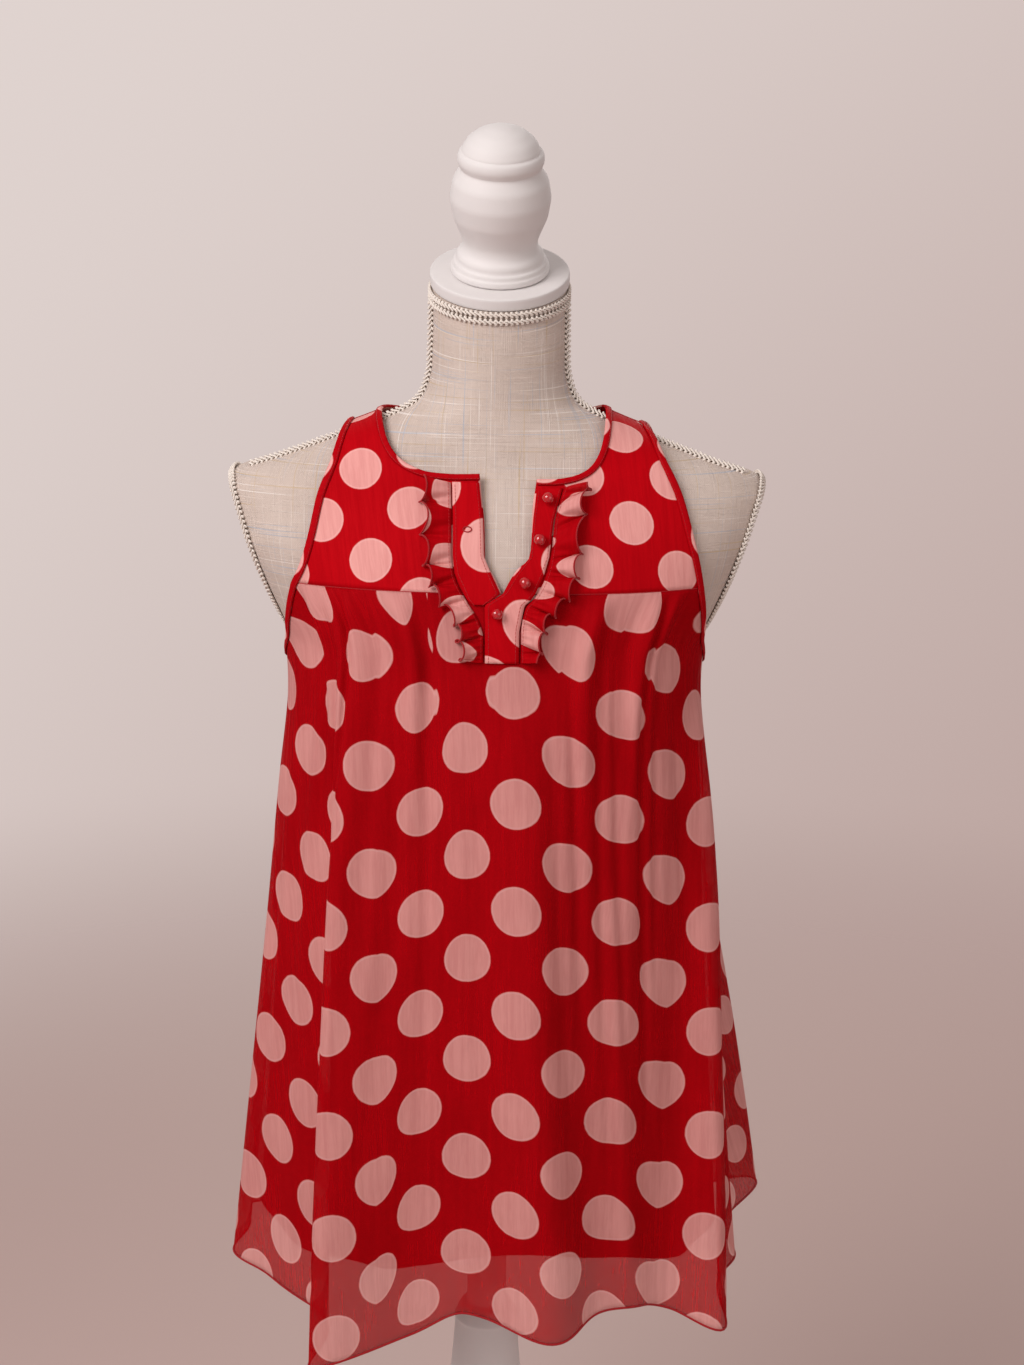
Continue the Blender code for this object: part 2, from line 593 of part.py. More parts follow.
def panel_columns(side_steps, middle_steps, first_corner, last_corner, back=False):
    """Angles of a skirt panel's columns, one at each end of the yoke seam."""
    columns = np.concatenate([
        [-90.0, -90.0 + SEAM_COLUMN],
        np.linspace(-90.0, -first_corner, side_steps + 1)[1:],
        np.linspace(-first_corner, last_corner, middle_steps + 1)[1:],
        np.linspace(last_corner, 90.0, side_steps + 1)[1:-1],
        [90.0 - SEAM_COLUMN, 90.0],
    ])
    return columns + 180.0 if back else columns


def wrapped_panel(angle):
    """Angles brought into -180 to 180 without moving the side seams."""
    return np.where(angle > 180.0, angle - 360.0, angle)


def skirt_panel(name, back=False):
    """Front or back of the skirt, half a seam gap off the side seams."""
    corners = (CORNER_RIGHT, CORNER_LEFT) if back else (CORNER_LEFT, CORNER_RIGHT)
    angle = wrapped_panel(panel_columns(9, 26, *corners, back=back))
    share = np.array(ROW_SHARES)[:, None]
    top = skirt_top(angle)
    hem = column(HEMS, "skirt", angle, key="angle")
    z = top + (hem - top) * share
    grid = skirt_point(np.broadcast_to(angle, z.shape), z)
    grid[..., 1] += SEAM_GAP / 2 if back else -SEAM_GAP / 2
    return shell(name, grid, CHIFFON, "red_chiffon")


def lining_panel(name, back=False):
    """Front or back of the lining."""
    corners = (CORNER_RIGHT, CORNER_LEFT) if back else (CORNER_LEFT, CORNER_RIGHT)
    angle = wrapped_panel(panel_columns(9, 12, *corners, back=back))
    share = np.array(LINING_SHARES)[:, None]
    top = skirt_top(angle)
    hem = column(HEMS, "lining", angle, key="angle")
    z = top + (hem - top) * share
    grid = lining_point(np.broadcast_to(angle, z.shape), z)
    grid[..., 1] += SEAM_GAP / 2 if back else -SEAM_GAP / 2
    return shell(name, grid, LINING, "red_lining")


def on_front(x, z, lift):
    """Point on the dress front, moved out of the cloth's middle."""
    angle = angle_of(CLOTH_SECTIONS, x, z)
    out = outward(CLOTH_SECTIONS, angle, z)
    return ring(CLOTH_SECTIONS, angle, z) + out * np.asarray(lift)[..., None]


def placket_strip(name, rows):
    """Facing strip beside the opening."""
    heights = np.array([row.z for row in rows])
    z = np.unique(np.concatenate([np.linspace(heights[0], heights[-1], 17), heights]))
    across = np.linspace(0.0, 1.0, 3)[None, :]
    inner = np.interp(z, heights, [row.inner for row in rows])[:, None]
    outer = np.interp(z, heights, [row.outer for row in rows])[:, None]
    x = inner + (outer - inner) * across
    z = np.broadcast_to(z[:, None], x.shape)
    lift = np.full(x.shape, TRIM_LIFT + TRIM_CLEARANCE)
    return shell(name, on_front(x, z, lift), TRIM, "red_chiffon")


def ruffle(name, rows, phase):
    """Gathered frill: flat at its sewn edge, waving in and out at its free edge."""
    knots = np.linspace(0.0, 1.0, len(rows))
    share = np.linspace(0.0, 1.0, RUFFLE_ROWS)[:, None]
    across = np.linspace(0.0, 1.0, RUFFLE_COLUMNS)[None, :]
    edges = {edge: eased(knots, [getattr(row, edge) for row in rows], share) for edge in Ruffle._fields}
    pitch, pitch_rate = RUFFLE_PITCH_DRIFT
    wave = 2 * math.pi * RUFFLE_WAVES * share + phase + pitch * np.sin(pitch_rate * share)
    sway = RUFFLE_SWAY * np.cos(wave) * across
    x = edges["sewn_x"] + (edges["free_x"] - edges["sewn_x"]) * across
    z = edges["sewn_z"] + (edges["free_z"] - edges["sewn_z"]) * across + sway
    drift, drift_rate = RUFFLE_HEIGHT_DRIFT
    swing = 0.5 + 0.5 * np.sin(wave) * (1 - drift + drift * np.sin(drift_rate * share))
    lift = TRIM_LIFT + TRIM_CLEARANCE + RUFFLE_HEIGHT * across ** RUFFLE_RISE * swing
    return shell(name, on_front(x, z, lift), TRIM, "red_chiffon")


def edge_band(name, angle, z, width, inward_sign, thickness, finish, wrap=False):
    """Narrow band lying on the cloth along an edge given by angles and heights."""
    path = ring(CLOTH_SECTIONS, angle, z)
    out = outward(CLOTH_SECTIONS, angle, z)
    if wrap:
        travel = np.roll(path, -1, axis=0) - np.roll(path, 1, axis=0)
    else:
        travel = np.gradient(path, axis=0)
    into = unit(np.cross(out, travel)) * inward_sign
    lift = CHIFFON / 2 + SEAM_GAP + BAND_CLEARANCE + thickness / 2
    inner = path + into * width
    inner_angle, inner_z = back_to_ring(inner)
    inner = ring(CLOTH_SECTIONS, inner_angle, inner_z)
    inner_out = outward(CLOTH_SECTIONS, inner_angle, inner_z)
    grid = np.stack([path + out * lift, inner + inner_out * lift], axis=0)
    return shell(name, grid, thickness, finish, wrap)


def back_to_ring(points):
    """Angle and height of points that lie near the cloth."""
    z = points[..., 2]
    power = column(CLOTH_SECTIONS, "roundness", z) / 2
    depth = np.where(points[..., 1] < 0, column(CLOTH_SECTIONS, "front", z),
                     column(CLOTH_SECTIONS, "back", z))
    across = signed_power(points[..., 0] / column(CLOTH_SECTIONS, "half_width", z), power)
    along = signed_power(-points[..., 1] / depth, power)
    return np.degrees(np.arctan2(across, along)), z


def edge_on_cloth(flat, back=False):
    """Angles and heights of an edge of the yoke given as (x, rise)."""
    z = YOKE_SEAM + (ridge_height(flat[:, 0]) - YOKE_SEAM) * np.sin(flat[:, 1] * math.pi / 2)
    return angle_of(CLOTH_SECTIONS, flat[:, 0], z, back), z


def halved(shares):
    """Shares with one more halfway between each two."""
    return np.sort(np.concatenate([shares, (shares[1:] + shares[:-1]) / 2]))


def neck_binding():
    """One bias strip from the opening's left edge, round the back, to its right edge."""
    left_end = ridge_place(SHOULDER_INNER_LEFT)
    right_end = ridge_place(SHOULDER_INNER_RIGHT)
    front_shares = halved(FRONT_NECK_SHARES)
    back_shares = halved(BACK_NECK_SHARES)
    left = edge_on_cloth(along_edge(NECKLINE_LEFT + [left_end], front_shares))
    back = edge_on_cloth(along_edge([left_end] + NECKLINE_BACK + [right_end], back_shares), back=True)
    right = edge_on_cloth(along_edge([right_end] + NECKLINE_RIGHT[::-1], 1 - front_shares[::-1]))
    angle = np.concatenate([left[0], back[0][1:], right[0][1:]])
    z = np.concatenate([left[1], back[1][1:], right[1][1:]])
    return edge_band("neck_binding", angle, z, BINDING_WIDTH, 1.0, TRIM, "red_chiffon")


def armhole_binding(name, armhole, shoulder_outer, side):
    """Turned and stitched edge round one armhole."""
    corner = CORNER_LEFT if side < 0 else CORNER_RIGHT
    edge = climb_edge(armhole + [ridge_place(shoulder_outer)])
    front = edge_on_cloth(edge)
    back = edge_on_cloth(edge, back=True)
    under = np.linspace(corner, 180.0 - corner, 19) * side
    angle = np.concatenate([front[0][::-1], under[1:], back[0][1:-1]])
    z = np.concatenate([front[1][::-1], skirt_top(under)[1:], back[1][1:-1]])
    return edge_band(name, angle, z, ARM_BINDING_WIDTH, -side, TRIM, "red_chiffon", wrap=True)


def ball_button(index, place):
    """Ball button on the right placket strip."""
    lift = TRIM_LIFT + TRIM_CLEARANCE + TRIM / 2 + SEAM_GAP + BUTTON_RADIUS
    centre = on_front(np.array(place.x), np.array(place.z), np.array(lift))
    mesh = bpy.data.meshes.new(f"button_{index}")
    ball = bmesh.new()
    bmesh.ops.create_uvsphere(ball, u_segments=8, v_segments=6, radius=BUTTON_RADIUS)
    ball.to_mesh(mesh)
    ball.free()
    mesh.shade_smooth()
    piece = add_object(f"button_{index}", mesh, "red_button")
    piece.location = centre.tolist()
    return piece


def plate_x(z):
    """Half width of the form at the flat arm plates."""
    low = column(FORM_SECTIONS, "half_width", PLATE_LOW)
    high = column(FORM_SECTIONS, "half_width", SHOULDER_TIP)
    return low + (high - low) * (z - PLATE_LOW) / (SHOULDER_TIP - PLATE_LOW)


def form_point(angle, z):
    """Point of the form, cut flat at the arm plates and tilted at the neck."""
    point = ring(FORM_SECTIONS, angle, z)
    limit = np.where(z >= PLATE_LOW, plate_x(z), 1.0)
    point[..., 0] = np.clip(point[..., 0], -limit, limit)
    neck_share = np.clip((z - NECK_BASE) / (NECK_TOP - NECK_BASE), 0.0, 1.0)
    point[..., 2] += point[..., 1] * math.tan(NECK_TILT) * neck_share
    return point


def form_body():
    """Linen-covered torso and neck, with a flat underside."""
    angle = np.arange(FORM_COLUMNS) * 360.0 / FORM_COLUMNS
    z = np.array(FORM_RINGS)[:, None]
    angle, z = np.broadcast_arrays(angle, z)
    grid = form_point(angle, z)
    mesh = grid_mesh("form_body", grid, wrap=True)
    shaped = bmesh.new()
    shaped.from_mesh(mesh)
    shaped.verts.ensure_lookup_table()
    last = (len(FORM_RINGS) - 1) * FORM_COLUMNS
    shaped.faces.new([shaped.verts[i] for i in range(FORM_COLUMNS)])
    shaped.faces.new([shaped.verts[last + i] for i in range(FORM_COLUMNS)])
    bmesh.ops.recalc_face_normals(shaped, faces=shaped.faces)
    shaped.to_mesh(mesh)
    shaped.free()
    mesh.shade_smooth()
    mesh.set_sharp_from_angle(angle=math.radians(35))
    return add_object("form_body", mesh, "natural_linen")


def neck_band():
    """Two-row braid round the top of the neck."""
    angle = np.arange(NECK_BAND_COLUMNS) * 360.0 / NECK_BAND_COLUMNS
    top = NECK_TOP - SEAM_GAP * 2
    z = np.array([top - NECK_BAND_HEIGHT, top])[:, None]
    angle, z = np.broadcast_arrays(angle, z)
    grid = form_point(angle, z)
    radial = unit(grid * np.array([1.0, 1.0, 0.0]))
    lift = SEAM_GAP + TRIM_CLEARANCE + NECK_BAND_THICKNESS / 2
    return shell("braid_neck", grid + radial * lift, NECK_BAND_THICKNESS, "cream_braid", wrap=True)


def shoulder_braid(name, side):
    """Braid down one side of the neck and along the shoulder ridge."""
    top = NECK_TOP - NECK_BAND_HEIGHT - SHOULDER_BRAID_BAND_GAP
    fine = np.linspace(SHOULDER_TIP + SHOULDER_BRAID_TIP_GAP, top, FINE_STEPS)
    path = ring(FORM_SECTIONS, 90.0, fine)
    length = np.concatenate([[0.0], np.cumsum(np.linalg.norm(np.diff(path, axis=0), axis=-1))])
    z = np.interp(np.linspace(0.0, length[-1], SHOULDER_BRAID_ROWS), length, fine)
    centre = ring(FORM_SECTIONS, 90.0 * side, z)
    out = outward(FORM_SECTIONS, np.full_like(z, 90.0 * side), z)
    lift = SEAM_GAP * 2 + BRAID_THICKNESS / 2
    middle = centre + out * lift
    half = np.array([0.0, BRAID_WIDTH / 2, 0.0])
    return shell(name, np.stack([middle - half, middle + half]), BRAID_THICKNESS, "cream_braid")


def even_loop(points, count):
    """A closed loop's points, evenly spaced."""
    closed = np.concatenate([points, points[:1]])
    length = np.concatenate([[0.0], np.cumsum(np.linalg.norm(np.diff(closed, axis=0), axis=-1))])
    at = np.linspace(0.0, length[-1], count + 1)[:-1]
    return np.stack([np.interp(at, length, closed[:, axis]) for axis in range(3)], axis=-1)


def plate_braid(name, side):
    """Braid laid round the edge of one arm plate."""
    z = np.linspace(PLATE_LOW, SHOULDER_TIP, FINE_STEPS)
    share = np.clip(plate_x(z) / column(FORM_SECTIONS, "half_width", z), 0.0, 1.0)
    roundness = column(FORM_SECTIONS, "roundness", z)
    reach = (1 - share ** roundness) ** (1 / roundness)
    front = -reach * column(FORM_SECTIONS, "front", z)
    back = reach * column(FORM_SECTIONS, "back", z)
    edge = [(x, y, h) for x, y, h in zip(plate_x(z), front, z)]
    edge += [(x, y, h) for x, y, h in zip(plate_x(z), back, z)][-2:0:-1]
    edge = even_loop(np.array(edge), PLATE_BRAID_POINTS)
    middle = np.array([0.0, 0.0, (PLATE_LOW + SHOULDER_TIP) / 2])
    spread = unit((edge - middle) * np.array([0.0, 1.0, 1.0]))
    clear = BRAID_CORD + SEAM_GAP * 2
    outward_shift = np.array([clear * PLATE_BRAID_OUT, 0.0, 0.0])
    centre = edge + outward_shift + spread * clear * PLATE_BRAID_SPREAD
    centre[:, 0] *= side
    centre = centre[::-1]
    curve = bpy.data.curves.new(name, "CURVE")
    curve.dimensions = "3D"
    curve.bevel_depth = BRAID_CORD
    curve.bevel_resolution = 1
    spline = curve.splines.new("POLY")
    spline.points.add(len(centre) - 1)
    for point, place in zip(spline.points, centre):
        point.co = (*place, 1.0)
    spline.use_cyclic_u = True
    return add_object(name, curve, "cream_braid")


def turned(name, rows, finish):
    """Piece turned about its own Z axis from a profile listed from the top down."""
    mesh = bpy.data.meshes.new(name)
    vertices = [(row.radius, 0.0, row.z) for row in rows]
    mesh.from_pydata(vertices, [(i, i + 1) for i in range(len(vertices) - 1)], [])
    piece = add_object(name, mesh, finish)
    screw = piece.modifiers.new("turning", "SCREW")
    screw.steps = TURNED_STEPS
    screw.render_steps = TURNED_STEPS
    screw.use_merge_vertices = True
    screw.merge_threshold = 0.00001
    screw.use_smooth_shade = True
    return piece


def stand():
    """Neck cap and finial leaning with the neck, pole and foot upright."""
    for name, rows in (("finial", FINIAL_TURNING), ("neck_cap", CAP_TURNING)):
        piece = turned(name, rows, "white_paint")
        piece.location = (0.0, 0.0, CAP_TOP)
        piece.rotation_euler = (NECK_TILT, 0.0, 0.0)
    turned("pole", POLE_TURNING, "white_paint")
    turned("foot", FOOT_TURNING, "white_paint")


def dress():
    """Every cut piece of the dress."""
    front_yoke("front_yoke_left", NECKLINE_LEFT, OPENING_LEFT, ARMHOLE_LEFT,
               SHOULDER_INNER_LEFT, SHOULDER_OUTER_LEFT)
    front_yoke("front_yoke_right", NECKLINE_RIGHT, OPENING_RIGHT, ARMHOLE_RIGHT,
               SHOULDER_INNER_RIGHT, SHOULDER_OUTER_RIGHT)
    back_yoke()
    skirt_panel("skirt_front")
    skirt_panel("skirt_back", back=True)
    lining_panel("lining_front")
    lining_panel("lining_back", back=True)
    placket_strip("placket_left", PLACKET_LEFT)
    placket_strip("placket_right", PLACKET_RIGHT)
    ruffle("ruffle_left", RUFFLE_LEFT, RUFFLE_PHASE_LEFT)
    ruffle("ruffle_right", RUFFLE_RIGHT, RUFFLE_PHASE_RIGHT)
    neck_binding()
    armhole_binding("armhole_binding_left", ARMHOLE_LEFT, SHOULDER_OUTER_LEFT, -1.0)
    armhole_binding("armhole_binding_right", ARMHOLE_RIGHT, SHOULDER_OUTER_RIGHT, 1.0)
    for index, place in enumerate(BUTTONS, start=1):
        ball_button(index, place)


def dress_form():
    """Torso, braids and stand."""
    form_body()
    neck_band()
    shoulder_braid("braid_shoulder_left", -1.0)
    shoulder_braid("braid_shoulder_right", 1.0)
    plate_braid("braid_plate_left", -1.0)
    plate_braid("braid_plate_right", 1.0)
    stand()


dress()
dress_form()
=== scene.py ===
"""Sleeveless chiffon babydoll dress worn by a limbless dress form: the finished look of each piece.

Metres, +Z up, the same frame as the solids. The front faces -Y. Angles run round the body in degrees:
0 is the centre front, 90 the side at +X, 180 the centre back.
"""
import math
from collections import namedtuple

import bmesh
import bpy
import numpy as np
from mathutils import Matrix, Vector


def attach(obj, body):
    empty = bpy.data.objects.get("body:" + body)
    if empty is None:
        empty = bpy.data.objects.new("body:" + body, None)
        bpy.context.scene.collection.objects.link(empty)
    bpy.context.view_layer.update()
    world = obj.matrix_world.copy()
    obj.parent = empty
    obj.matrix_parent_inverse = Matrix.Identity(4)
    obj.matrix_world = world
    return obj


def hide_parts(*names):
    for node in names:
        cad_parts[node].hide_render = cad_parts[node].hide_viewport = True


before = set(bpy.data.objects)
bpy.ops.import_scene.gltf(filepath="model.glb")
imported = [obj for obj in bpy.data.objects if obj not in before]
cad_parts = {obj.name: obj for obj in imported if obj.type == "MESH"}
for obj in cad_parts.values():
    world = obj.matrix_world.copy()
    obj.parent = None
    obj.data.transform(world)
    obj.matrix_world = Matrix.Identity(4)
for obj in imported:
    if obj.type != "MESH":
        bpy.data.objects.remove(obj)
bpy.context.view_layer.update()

# Cloth walls, and how far the pieces lie apart
CHIFFON = 0.0012
LINING = 0.0010
TRIM = 0.0010
SEAM_GAP = 0.0003
EASE = 0.0042
TRIM_LIFT = CHIFFON / 2 + SEAM_GAP + TRIM / 2
TRIM_CLEARANCE = 0.0002
LINING_INSET = CHIFFON / 2 + SEAM_GAP + LINING / 2

# Heights above the floor
HEM_HEIGHT = 0.505
YOKE_SEAM = 1.070
ARMHOLE_LOW = 1.005
PLATE_LOW = 1.020
SHOULDER_TIP = 1.143
NECK_BASE = 1.200
NECK_TOP = 1.2814
CAP_TOP = 1.292

# Stand
NECK_TILT = math.radians(22)
CAP_RADIUS = 0.0515
CAP_THICKNESS = 0.0095
FORM_BOTTOM = 0.650
FOOT_TOP = 0.035

# Trims
BINDING_WIDTH = 0.0045
ARM_BINDING_WIDTH = 0.0055
BUTTON_RADIUS = 0.0042
BRAID_WIDTH = 0.0070
NECK_BAND_HEIGHT = 0.010
SHOULDER_BRAID_TIP_GAP = 0.0045
SHOULDER_BRAID_BAND_GAP = 0.002
PLATE_BRAID_OUT = 0.80
PLATE_BRAID_SPREAD = 0.62
FINE_STEPS = 300
RIDGE_STEPS = 200

Section = namedtuple("Section", "z half_width front back roundness")
Place = namedtuple("Place", "x z")
Fold = namedtuple("Fold", "top hem start depth width lean")
Tuck = namedtuple("Tuck", "angle depth width length lean")
HemPoint = namedtuple("HemPoint", "angle skirt lining")
Turning = namedtuple("Turning", "z radius")
Button = namedtuple("Button", "x z")

# The form: half width at the sides, depth in front of and behind its axis
FORM_SECTIONS = [
    Section(0.650, 0.1580, 0.1000, 0.1040, 2.20),
    Section(0.700, 0.1620, 0.1030, 0.1100, 2.20),
    Section(0.780, 0.1520, 0.0980, 0.1000, 2.20),
    Section(0.860, 0.1260, 0.0880, 0.0840, 2.20),
    Section(0.920, 0.1340, 0.0960, 0.0880, 2.20),
    Section(0.980, 0.1485, 0.1090, 0.0970, 2.20),
    Section(1.000, 0.1515, 0.1085, 0.0990, 2.20),
    Section(1.020, 0.1560, 0.1070, 0.1010, 2.25),
    Section(1.040, 0.1640, 0.1040, 0.1020, 2.28),
    Section(1.060, 0.1750, 0.1000, 0.1020, 2.30),
    Section(1.080, 0.1880, 0.0940, 0.1005, 2.30),
    Section(1.100, 0.1990, 0.0870, 0.0980, 2.30),
    Section(1.130, 0.2060, 0.0740, 0.0880, 2.30),
    Section(1.143, 0.1970, 0.0670, 0.0800, 2.25),
    Section(1.155, 0.1630, 0.0620, 0.0710, 2.20),
    Section(1.170, 0.1220, 0.0580, 0.0640, 2.20),
    Section(1.182, 0.0900, 0.0550, 0.0600, 2.10),
    Section(1.190, 0.0720, 0.0530, 0.0570, 2.10),
    Section(1.197, 0.0610, 0.0520, 0.0550, 2.00),
    Section(1.207, 0.0545, 0.0510, 0.0530, 2.00),
    Section(1.225, 0.0505, 0.0490, 0.0510, 2.00),
    Section(NECK_TOP, 0.0495, 0.0430, 0.0500, 2.00),
]

# The skirt between its folds; above it the cloth follows the form
SKIRT_SECTIONS = [
    Section(0.470, 0.1990, 0.1310, 0.1390, 2.10),
    Section(0.567, 0.1900, 0.1290, 0.1360, 2.10),
    Section(0.706, 0.1780, 0.1270, 0.1310, 2.10),
    Section(0.817, 0.1690, 0.1250, 0.1250, 2.15),
    Section(0.909, 0.1630, 0.1220, 0.1180, 2.20),
    Section(0.985, 0.1580, 0.1170, 0.1090, 2.25),
]

# Fold ridges: angle at the yoke and at the hem, height where each starts, and at the hem its depth,
# width in degrees and lean to one side
FOLDS = [
    Fold(-174, -170, 0.99, 0.024, 8.0, 0.010),
    Fold(-148, -146, 0.99, 0.034, 8.0, -0.014),
    Fold(-122, -124, 0.97, 0.024, 7.5, 0.008),
    Fold(-100, -103, 0.95, 0.019, 7.5, -0.007),
    Fold(-77, -74, 0.97, 0.016, 7.5, -0.004),
    Fold(-36, -24, 1.04, 0.046, 7.5, -0.034),
    Fold(4, 12, 0.99, 0.030, 9.0, 0.006),
    Fold(29, 32, 0.86, 0.009, 6.0, 0.004),
    Fold(76, 57, 0.99, 0.036, 7.5, -0.010),
    Fold(84, 82, 0.92, 0.009, 6.5, 0.000),
    Fold(104, 110, 0.84, 0.058, 8.5, 0.010),
    Fold(128, 130, 0.98, 0.024, 7.5, -0.008),
    Fold(152, 154, 0.99, 0.034, 8.0, 0.014),
]

# How a fold deepens from its start to the hem, and how far past the hem's height it goes on growing
FOLD_GROWTH = 0.7
FOLD_LIMIT = 1.1

# Tucks let into the yoke seam: each swells just below the seam and dies out down the skirt
TUCKS = [
    Tuck(-45, 0.0050, 2.6, 0.030, -0.002),
    Tuck(-39, 0.0080, 3.0, 0.036, 0.003),
    Tuck(-32, 0.0070, 2.8, 0.030, -0.003),
    Tuck(-19, 0.0085, 3.0, 0.040, 0.003),
    Tuck(22, 0.0080, 3.0, 0.036, -0.003),
    Tuck(37, 0.0080, 3.0, 0.038, 0.003),
    Tuck(44, 0.0065, 2.8, 0.030, -0.002),
    Tuck(-165, 0.0070, 3.4, 0.034, 0.004),
    Tuck(-150, 0.0080, 3.4, 0.036, -0.004),
    Tuck(-137, 0.0060, 3.2, 0.030, -0.003),
    Tuck(180, 0.0060, 3.4, 0.028, 0.000),
    Tuck(138, 0.0065, 3.2, 0.030, 0.003),
    Tuck(152, 0.0080, 3.4, 0.036, 0.004),
    Tuck(167, 0.0065, 3.2, 0.032, -0.003),
]

# Heights of the two hems round the body
HEMS = [
    HemPoint(-180, 0.512, 0.549),
    HemPoint(-155, 0.502, 0.545),
    HemPoint(-130, 0.512, 0.552),
    HemPoint(-105, 0.508, 0.548),
    HemPoint(-88, 0.520, 0.552),
    HemPoint(-66, 0.510, 0.545),
    HemPoint(-42, 0.500, 0.541),
    HemPoint(-26, 0.482, 0.541),
    HemPoint(-14, 0.498, 0.550),
    HemPoint(-4, 0.516, 0.555),
    HemPoint(11, 0.506, 0.560),
    HemPoint(30, 0.516, 0.549),
    HemPoint(46, 0.502, 0.540),
    HemPoint(58, 0.490, 0.534),
    HemPoint(72, 0.500, 0.536),
    HemPoint(90, 0.512, 0.545),
    HemPoint(108, 0.522, 0.551),
    HemPoint(130, 0.508, 0.545),
    HemPoint(155, 0.520, 0.552),
    HemPoint(180, 0.512, 0.549),
]

# The lining: waves round its hem, and how it draws in from the skirt on the way down
LINING_WAVES = 11
LINING_WAVE_DEPTH = 0.007
LINING_FALL = 0.0008
LINING_FALL_HEIGHT = 0.008
LINING_DRAW = 0.0040
LINING_GROWTH = 1.5

# Rows and columns of the cut pieces
YOKE_RISES = np.linspace(0.0, 1.0, 46)
FRONT_NECK_SHARES = 1 - (1 - np.linspace(0.0, 1.0, 28)) ** 1.6
BACK_NECK_SHARES = 0.5 - 0.5 * np.cos(np.linspace(0.0, math.pi, 46))
SEAM_COLUMN = 1.0
NECK_SHARE = 0.72
ARMHOLE_ROUNDNESS = 1.35

# Edges of the yoke, each as a list of places; the shoulder end of each lies on the shoulder ridge
SHOULDER_INNER_LEFT = -0.086
SHOULDER_OUTER_LEFT = -0.112
SHOULDER_INNER_RIGHT = 0.080
SHOULDER_OUTER_RIGHT = 0.110
NECK_RISE = 0.25
NECKLINE_LEFT = [
    Place(-0.0120, 1.1510), Place(-0.0300, 1.1505), Place(-0.0480, 1.1515), Place(-0.0590, 1.1545),
    Place(-0.0700, 1.1605), Place(-0.0780, 1.1700),
]
NECKLINE_RIGHT = [
    Place(0.0290, 1.1480), Place(0.0410, 1.1480), Place(0.0530, 1.1495), Place(0.0640, 1.1535),
    Place(0.0710, 1.1600), Place(0.0760, 1.1710),
]
NECKLINE_BACK = [
    Place(-0.0740, 1.1855), Place(-0.0450, 1.1810), Place(0.0, 1.1790), Place(0.0420, 1.1810),
    Place(0.0690, 1.1860),
]
OPENING_LEFT = [
    Place(0.0052, YOKE_SEAM), Place(0.0000, 1.0810), Place(-0.0070, 1.0940), Place(-0.0080, 1.1180),
    Place(-0.0100, 1.1340), Place(-0.0120, 1.1510),
]
OPENING_RIGHT = [
    Place(0.0058, YOKE_SEAM), Place(0.0160, 1.0870), Place(0.0240, 1.0940), Place(0.0258, 1.1050),
    Place(0.0262, 1.1250), Place(0.0290, 1.1480),
]
ARMHOLE_LEFT = [
    Place(-0.1480, YOKE_SEAM), Place(-0.1410, 1.0850), Place(-0.1350, 1.1060), Place(-0.1290, 1.1340),
    Place(-0.1200, 1.1580),
]
ARMHOLE_RIGHT = [
    Place(0.1520, YOKE_SEAM), Place(0.1490, 1.0850), Place(0.1420, 1.1120), Place(0.1340, 1.1380),
    Place(0.1220, 1.1620),
]

# Placket strips and ruffles: for each height the two edges, as x
Strip = namedtuple("Strip", "z inner outer")
PLACKET_LEFT = [
    Strip(1.0620, -0.0075, -0.0150), Strip(1.0660, -0.0010, -0.0195), Strip(1.0700, 0.0044, -0.0220),
    Strip(1.0830, -0.0022, -0.0285), Strip(1.0950, -0.0078, -0.0300), Strip(1.1200, -0.0090, -0.0305),
    Strip(1.1450, -0.0122, -0.0315),
]
PLACKET_RIGHT = [
    Strip(1.0215, -0.0060, 0.0180), Strip(1.0450, -0.0062, 0.0180), Strip(1.0620, -0.0068, 0.0215),
    Strip(1.0660, -0.0003, 0.0260), Strip(1.0700, 0.0065, 0.0290), Strip(1.0830, 0.0145, 0.0350),
    Strip(1.0950, 0.0250, 0.0385), Strip(1.1200, 0.0268, 0.0415), Strip(1.1420, 0.0292, 0.0475),
]
Ruffle = namedtuple("Ruffle", "sewn_x sewn_z free_x free_z")
RUFFLE_LEFT = [
    Ruffle(-0.0325, 1.1445, -0.0560, 1.1445), Ruffle(-0.0315, 1.1200, -0.0545, 1.1200),
    Ruffle(-0.0310, 1.0950, -0.0525, 1.0930), Ruffle(-0.0280, 1.0800, -0.0480, 1.0760),
    Ruffle(-0.0200, 1.0650, -0.0400, 1.0620), Ruffle(-0.0110, 1.0510, -0.0290, 1.0480),
    Ruffle(-0.0075, 1.0380, -0.0270, 1.0360), Ruffle(-0.0075, 1.0220, -0.0240, 1.0210),
]
RUFFLE_RIGHT = [
    Ruffle(0.0485, 1.1420, 0.0700, 1.1470), Ruffle(0.0425, 1.1200, 0.0660, 1.1290),
    Ruffle(0.0398, 1.0950, 0.0630, 1.0980), Ruffle(0.0365, 1.0820, 0.0610, 1.0790),
    Ruffle(0.0300, 1.0690, 0.0525, 1.0630), Ruffle(0.0220, 1.0590, 0.0420, 1.0520),
    Ruffle(0.0195, 1.0430, 0.0370, 1.0385), Ruffle(0.0195, 1.0220, 0.0340, 1.0220),
]
RUFFLE_WAVES = 8
RUFFLE_RISE = 0.8
RUFFLE_PHASE_LEFT = 0.4
RUFFLE_PHASE_RIGHT = 2.0
RUFFLE_PITCH_DRIFT = (0.7, 5.0)
RUFFLE_HEIGHT_DRIFT = (0.15, 9.0)
RUFFLE_ROWS = 300
RUFFLE_COLUMNS = 14

BUTTONS = [Button(0.0370, 1.1340), Button(0.0315, 1.1060), Button(0.0215, 1.0770), Button(0.0020, 1.0560)]

